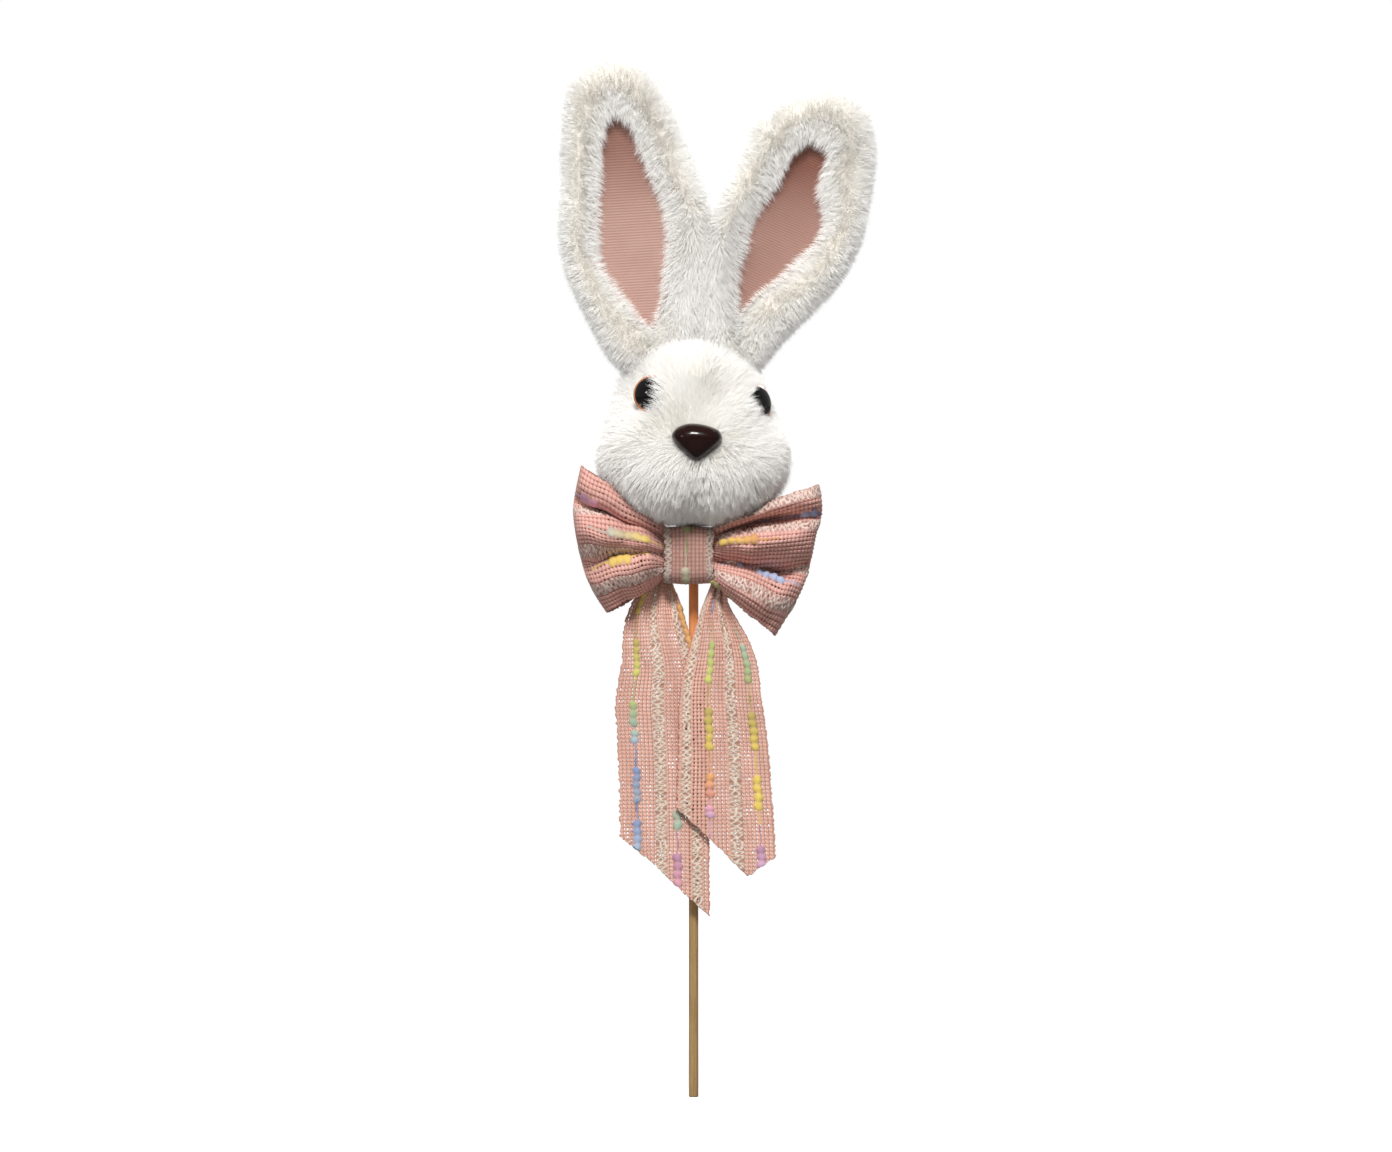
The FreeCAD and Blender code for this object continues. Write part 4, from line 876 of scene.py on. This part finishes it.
def ribbon(name, place, width, length, pitch, stripes, slubs, seed, thick=0.7, painted_shade=(1, 1, 1),
           open_until=1e3, foot=None):
    """A woven ribbon laid out by place(s, t), with s across and t along it in
    mm, cut off at foot(s).  Both faces carry the weave; up to open_until, the
    holes go through both."""
    step = pitch / 4
    across = np.arange(0, int(width / step) + 1) * step
    along = np.arange(0, int(length / step) + 1) * step
    s, t = np.meshgrid(across, along, indexing="ij")
    ragged = np.exp(-np.minimum(s, width - s) / 0.8) * (hash_noise(t / 0.75, s * 0 + width, seed) - 0.5) * 1.1
    last = foot(s) + 0.9 * (hash_noise(s / 0.84, s * 0 + seed, seed) - 0.5) if foot else t
    centre = place(s + ragged * np.sign(s - width / 2), np.minimum(t, last))
    ds = np.gradient(centre, axis=0)
    dt = np.gradient(centre, axis=1)
    normal = unit(np.cross(ds, dt))
    height, colour, _ = weave(s, t, pitch, stripes, slubs, seed)
    # Painted shade: a factor that darkens a copy of the ribbon, for the knot and the loops in shade under the
    # head.
    colour = colour * np.array(painted_shade)
    front = centre + normal * (height[..., None] + thick / 2) * MM
    back = centre - normal * (height[..., None] * 0.4 + thick / 2) * MM
    n = s.size
    quads = grid_faces(*s.shape)
    middle_hole = weave(s[:-1, :-1] + step / 2, t[:-1, :-1] + step / 2, pitch, stripes, slubs, seed)[2]
    kept = ~middle_hole | (t[:-1, :-1] > open_until)
    kept[:3], kept[-3:], kept[:, :3], kept[:, -3:] = True, True, True, True
    if foot:
        kept &= (t[:-1, :-1] < last[:-1, :-1]) | (t[:-1, :-1] < last[1:, :-1])
        kept |= (t[:-1, :-1] < last[:-1, :-1] - 1) & (t[:-1, :-1] > last[:-1, :-1] - 2)
    beside = np.pad(kept, 1)
    faces = [quads[kept], quads[kept][:, ::-1] + n]
    for side, (down, right) in enumerate(((0, -1), (1, 0), (0, 1), (-1, 0))):
        bare = kept & ~beside[1 + down: 1 + down + kept.shape[0], 1 + right: 1 + right + kept.shape[1]]
        near, far = quads[bare][:, side], quads[bare][:, (side + 1) % 4]
        faces.append(np.stack([far, near, near + n, far + n], -1))
    faces = np.concatenate(faces)
    flat = np.stack([0.005 + 0.485 * s / width, 0.005 + 0.99 * t / max(length, 1e-6)], -1).reshape(-1, 2)
    double = np.concatenate([flat, flat + np.array([0.505, 0])])
    obj = build_mesh(name, np.concatenate([front.reshape(-1, 3), back.reshape(-1, 3)]), [faces],
                     double[faces].reshape(-1, 2))
    attribute = obj.data.color_attributes.new("yarn", "FLOAT_COLOR", "POINT")
    rgba = np.concatenate([colour.reshape(-1, 3), np.ones((n, 1))], 1)
    attribute.data.foreach_set("color", np.concatenate([rgba, rgba]).astype(np.float32).ravel())
    obj.data.materials.append(tweed_material)
    return obj


# ---------------------------------------------------------------------------
# The tails: two ends of the ribbon, gathered under the knot and cut slanting.
# Each hangs flat from the knot; the right one lies in front.
# ---------------------------------------------------------------------------

tail_pitch = 1.62
tail_width = 38
root_z = 226


def tail_place(edge_left, edge_right, cut, depth, pleat, phase):
    """Layout of a tail: its left and right edges as (z, x) lists, its slanting
    cut as (share of width, z), its depth and how deep it is pleated."""
    (lz, lx), (rz, rx) = (curve_through(edge, 60)[::-1].T for edge in (edge_left, edge_right))
    cut_share, cut_z = np.array(cut, float).T

    def place(s, t):
        share = s / tail_width
        z = root_z - t
        x = np.interp(z, lz, lx) * (1 - share) + np.interp(z, rz, rx) * share
        gathered = eased(z, 182, 214)
        fold = gathered * pleat * np.sin(share * math.tau * 2.5 + phase)
        wave = 0.6 * np.sin(z / 17) * (1 - gathered) + 1.0 * np.sin(share * math.pi * 3.4 + z / 34 + phase)
        y = depth + eased(z, 196, 224) * 3.2 + fold + wave * (1 - 0.6 * gathered)
        return np.stack([x, y, z], -1) * MM

    def foot(s):
        return root_z - np.interp(s / tail_width, cut_share, cut_z)

    return place, root_z - np.min(cut_z), foot


def hang_tail(hand, layout, stripes, slubs, seed):
    """One tail of the ribbon, hung at the knot.  Slubs
    are (s, top z, foot z, first and last colour)."""
    place, long, foot = tail_place(*layout)
    slubs = [(s, root_z - top, root_z - end, first, last) for s, top, end, first, last in slubs]
    tail = ribbon(hand + "_tail_ribbon", place, tail_width, long, tail_pitch, stripes, slubs, seed, foot=foot)
    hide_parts(hand + "_tail")
    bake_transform(tail)


hang_tail("left", (
    [(226, -14), (216, -19), (206, -26), (196, -29), (180, -30), (166, -32.6), (150, -31.8), (130, -31),
     (70, -30.2)],
    [(226, -10.5), (216, -9.5), (208, -6), (198, -3), (188, 0.5), (176, 4.5), (160, 6), (140, 6.6),
     (110, 6.8), (70, 7.2)],
    [(0, 109), (0.35, 98.5), (0.7, 85.5), (1.0, 75.4)], -7.0, 1.3, 1), [(17.5, 2.4), (32.5, 2.2)], [
    (7.2, 214, 202, "yellow", "yellow"), (7.2, 191.5, 176, "olive", "lime"),
    (7.2, 165.5, 155, "green", "teal"), (7.2, 153.5, 148, "teal", "sky"),
    (7.2, 138, 123, "blue", "grey_blue"), (7.2, 116, 103, "blue", "sky"),
    (24.3, 120, 112, "grey_green", "teal"), (24.3, 102, 88, "violet", "pink"),
    (36.6, 206, 186, "amber", "orange")], 3)

hang_tail("right", (
    [(226, 8.6), (216, 8), (206, 4.2), (198, 1.4), (188, -1.5), (174, -5.2), (160, -6.2), (140, -6.4),
     (121, -7.2), (88, -7.6)],
    [(226, 14), (216, 13), (206, 14.5), (199, 18.5), (190, 23.6), (180, 27), (166, 28.8), (150, 31),
     (130, 32.6), (112, 34), (88, 35)],
    [(0, 121), (0.4, 106), (0.71, 92.4), (1.0, 101)], -10.4, 1.4, 2), [(3.4, 2.0), (23.2, 2.5)], [
    (13.2, 215, 202.5, "sky", "blue"), (13.2, 190.5, 173, "green", "lime"),
    (13.2, 163, 145, "olive", "yellow"), (13.2, 135.5, 125.5, "orange", "salmon"),
    (13.2, 122, 117, "pink", "lavender"),
    (32.3, 189.5, 173, "teal", "green"), (32.3, 161, 145, "olive", "yellow"),
    (32.3, 134.5, 120, "yellow", "yellow"), (32.3, 105, 96, "violet", "lavender")], 7)

# ---------------------------------------------------------------------------
# The knot: a short length of the ribbon wrapped once round the bow's waist
# and closed behind it.
# ---------------------------------------------------------------------------

knot_low, knot_high = (np.array(v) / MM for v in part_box("knot_band"))
bow_pitch = 1.72
knot_width = 22


def knot_path():
    """The wrap seen from the side, as (y, z, length)."""
    half_y, half_z, soft = (knot_high[1] - knot_low[1]) / 2, (knot_high[2] - knot_low[2]) / 2, 5.0
    my, mz = (knot_high[1] + knot_low[1]) / 2, (knot_high[2] + knot_low[2]) / 2
    rows = [(half_y, 0)]
    for cy, cz, first in ((half_y - soft, half_z - soft, 0), (-half_y + soft, half_z - soft, 90),
                          (-half_y + soft, -half_z + soft, 180), (half_y - soft, -half_z + soft, 270)):
        for a in np.radians(np.linspace(first, first + 90, 12)):
            rows.append((cy + soft * math.cos(a), cz + soft * math.sin(a)))
    rows.append((half_y, 0))
    line = np.array(rows)
    length = np.concatenate([[0], np.cumsum(np.linalg.norm(np.diff(line, axis=0), axis=1))])
    return line[:, 0] + my, line[:, 1] + mz, length


knot_y, knot_z, knot_length = knot_path()
knot_mid = (knot_high[2] + knot_low[2]) / 2


def knot_place(s, t):
    share = s / knot_width
    y, z = np.interp(t, knot_length, knot_y), np.interp(t, knot_length, knot_z)
    bulge = np.sin(share * math.pi)
    front = eased(-y, 4, 14)
    z = knot_mid + (z - knot_mid) * (0.95 + 0.07 * bulge)
    y = y - front * (0.6 + 1.1 * bulge * (1 - ((z - knot_mid) / 13) ** 2))
    pinch = 0.5 * np.cos((z - knot_mid) / 11.5 * math.pi / 2)
    x = knot_low[0] + 0.6 + share * 21 - np.sign(share - 0.5) * pinch * np.abs(2 * share - 1) ** 2
    return np.stack([x, y, z], -1) * MM


half_wrap = knot_length[-1] / 2
# Painted shade: the knot's ribbon is darkened to about two thirds.
knot_painted_shade = (0.66, 0.66, 0.69)
knot_slubs = [(10.2, half_wrap - 13, half_wrap - 9, "pale_green", "green"),
              (9.6, half_wrap + 5, half_wrap + 12, "cream", "pale_green")]
knot_ribbon = ribbon("knot_ribbon", knot_place, knot_width, knot_length[-1], bow_pitch,
                     [(1.6, 1.7), (20.2, 1.7)], knot_slubs, 5, thick=0.8, painted_shade=knot_painted_shade, open_until=0)
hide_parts("knot_band")
knot_length[-1] * MM
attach(knot_ribbon, "head_and_stick")

# ---------------------------------------------------------------------------
# The loops: the ribbon's two loops, pinched into pleats at the waist and
# opened out at their round ends.
# ---------------------------------------------------------------------------

loop_width = 62
# Painted shade: the loops' ribbon is darkened a little and tinted towards mauve.
bow_painted_shade = (0.96, 0.91, 0.98)


def loop_profile(reach, radius=8.5, knot_half=2.6):
    """The loop seen from above: front layer, round end, back layer, as share of
    the reach and depth against length."""
    turn = math.pi / 2 + math.asin((radius - knot_half) / (reach - radius))
    arc = np.linspace(turn, -turn, 40)
    x = np.concatenate([[0], reach - radius + radius * np.cos(arc), [0]])
    y = np.concatenate([[-knot_half], -radius * np.sin(arc), [knot_half]])
    length = np.concatenate([[0], np.cumsum(np.hypot(np.diff(x), np.diff(y)))])
    return x / reach, y, length


def fold_line(rows, share):
    """Depth and rise of a set of folds, as (share, depth, rise), at shares."""
    line = curve_through(rows, 160)
    order = np.argsort(line[:, 0])
    return [np.interp(share, line[order, 0], line[order, i]) for i in (1, 2)]


def loop_place(knot_x, outer, knot_span, near, far, reach):
    """Layout of a loop: its outer end as (share of width, x, z), the span it is
    pinched to at the knot, and its folds beside the knot and at its end."""
    shape, depth, length = loop_profile(reach)
    share_line, x_line, z_line = curve_through(outer, 80).T

    def place(s, t):
        share = s / loop_width
        rho = np.interp(t, length, shape)
        y = np.interp(t, length, depth)
        front = 1 - eased(t, length[-1] * 0.44, length[-1] * 0.56)
        end_x, end_z = np.interp(share, share_line, x_line), np.interp(share, share_line, z_line)
        start_z = knot_span[0] + (knot_span[1] - knot_span[0]) * share
        z = start_z + (end_z - start_z) * rho ** 0.86
        x = knot_x + (end_x - knot_x) * rho
        near_y, near_z = fold_line(near, share)
        far_y, far_z = fold_line(far, share)
        blend = eased(rho, 0.5, 1.08)
        grow = eased(rho, 0.0, 0.3) * 2.1
        side = front - 0.5 * (1 - front)
        y = y + ((near_y * (1 - blend) + far_y * blend) * grow) * side
        z = z + ((near_z * (1 - blend) + far_z * blend) * grow) * front
        crush = hash_noise(s / 5.5, t / 7 + knot_x, 51) - 0.5
        y = y - 10.0 + 0.25 * np.sin(share * 23 + rho * 6) + 2.6 * crush * np.minimum(grow, 1)
        z = z + 1.5 * (hash_noise(s / 9 + 3, t / 8 + knot_x, 52) - 0.5) * np.minimum(grow, 1)
        inside = np.interp(z, outline[:, 1] / MM, outline[:, 0] / MM, left=0, right=0) + 3.0
        inside = np.where(z < (chin + pile_depth) / MM - 1, 0, inside)
        push = np.maximum(inside / np.maximum(np.hypot(x, y), 1e-6), 1.0)
        return np.stack([x * push, y * push, z], -1) * MM

    return place, length[-1]


def tie_loop(hand, layout, stripes, slubs, seed):
    """One loop of the bow.  A slub's place below 0 counts back from the end
    of the ribbon behind."""
    place, long = loop_place(*layout)
    slubs = [(s, start % long, end % long, first, last) for s, start, end, first, last in slubs]
    loop = ribbon(hand + "_loop_ribbon", place, loop_width, long, bow_pitch, stripes, slubs, seed,
                  painted_shade=bow_painted_shade, open_until=long * 0.45)
    long * MM
    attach(loop, "head_and_stick")
    return loop


tie_loop("left", (-9.5, [
    (0, -46.6, 263.4), (0.15, -49, 253), (0.3, -49.8, 244.5), (0.45, -48.9, 236), (0.6, -47, 227),
    (0.75, -44.6, 218), (0.88, -40.6, 209.5), (1.0, -36, 202.6)], (236, 219), [
    (0, 1, 0), (0.08, -2.5, 0), (0.16, -1, -1), (0.24, 6, 1.0), (0.32, 0, 1.5), (0.42, -5, 0), (0.55, -3, 0),
    (0.64, 4.5, -2), (0.70, -2, 2.0), (0.76, -5, 1), (0.88, -2.5, 0), (1, 3, 0)], [
    (0, 0, 0), (0.1, -1, 0), (0.2, 1.5, 0), (0.3, 0, 0), (0.45, -1.5, 0), (0.6, 0, 0), (0.72, 2.5, 0),
    (0.8, 0, 0), (0.88, -1, 0), (1, 0, 0)], 40), [(17.5, 2.2), (35.5, 2.6), (52.5, 2.2)], [
    (9.5, 31, 39, "pink", "lavender"), (13.5, 15, 22, "amber", "yellow"), (25, 9, 27, "yellow", "grey_green"),
    (44.5, 19, 29, "yellow", "yellow"), (60, -22, -4, "yellow", "olive")], 9)

right_loop = tie_loop("right", (5.5, [
    (0, 51.6, 256), (0.1, 53, 249.5), (0.2, 52.8, 243), (0.35, 50.8, 235.5), (0.5, 49, 226.5),
    (0.68, 46.2, 216), (0.84, 41.4, 205.5), (1.0, 33.6, 193.2)], (237, 218), [
    (0, 1, 0), (0.08, -2.5, 0), (0.18, 5, 0.5), (0.26, 1, 1), (0.36, -5, 0), (0.48, -2.5, -0.5),
    (0.58, 4.5, -2), (0.66, 6.5, 0), (0.74, 0, 1), (0.82, -4, 0.5), (0.92, -4, 0), (1, 2, 0)], [
    (0, 0, 0), (0.12, -1, 0), (0.2, 2, 0), (0.32, -1, 0), (0.45, -0.5, 0), (0.56, 3, 0), (0.68, 0, 0),
    (0.8, -1, 0), (1, 0.5, 0)], 46), [(2.4, 2.0), (17, 2.2), (38, 2.4), (53, 2.4)], [
    (11, 38, 46, "sky", "blue"), (11.5, 16, 26, "grey_blue", "sky"), (22, 6, 22, "yellow", "amber"),
    (44.5, 15, 18, "sky", "sky"), (45, 24, 38, "sky", "sky"), (60, 3, 9, "olive", "green")], 13)
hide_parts("bow_loops")

# ---------------------------------------------------------------------------
# The pieces hidden inside: moulded washers, the bead of glue on the stick,
# the thread that closes the neck, the fibre wad, and the steel wires of the
# ears and the bow.
# ---------------------------------------------------------------------------

inner, inner_finish = finish_of("inner_pieces", Roughness=0.6)
inner_tone = noise(inner, texture_at(inner), 1.2, 2)
inner_material = inner_finish(Base_Color=inner_tone.mix(tone(214, 210, 200), tone(232, 229, 222)))
steel, steel_finish = finish_of("craft_wire", Metallic=1.0)
drawn = noise(steel, texture_at(steel, 1, 1, 0.1), 4, 2)
steel_tone = drawn.mix(tone(150, 150, 152), tone(190, 190, 192))
steel_material = steel_finish(Base_Color=steel_tone, Roughness=drawn * 0.2 + 0.3)
for name in nodes:
    if name in ("glue_bead", "gathering_thread", "head_stuffing") or name.endswith("washer"):
        nodes[name].material_slots[0].material = inner_material
    if name.endswith("_wire") or name.endswith("_leg"):
        nodes[name].material_slots[0].material = steel_material
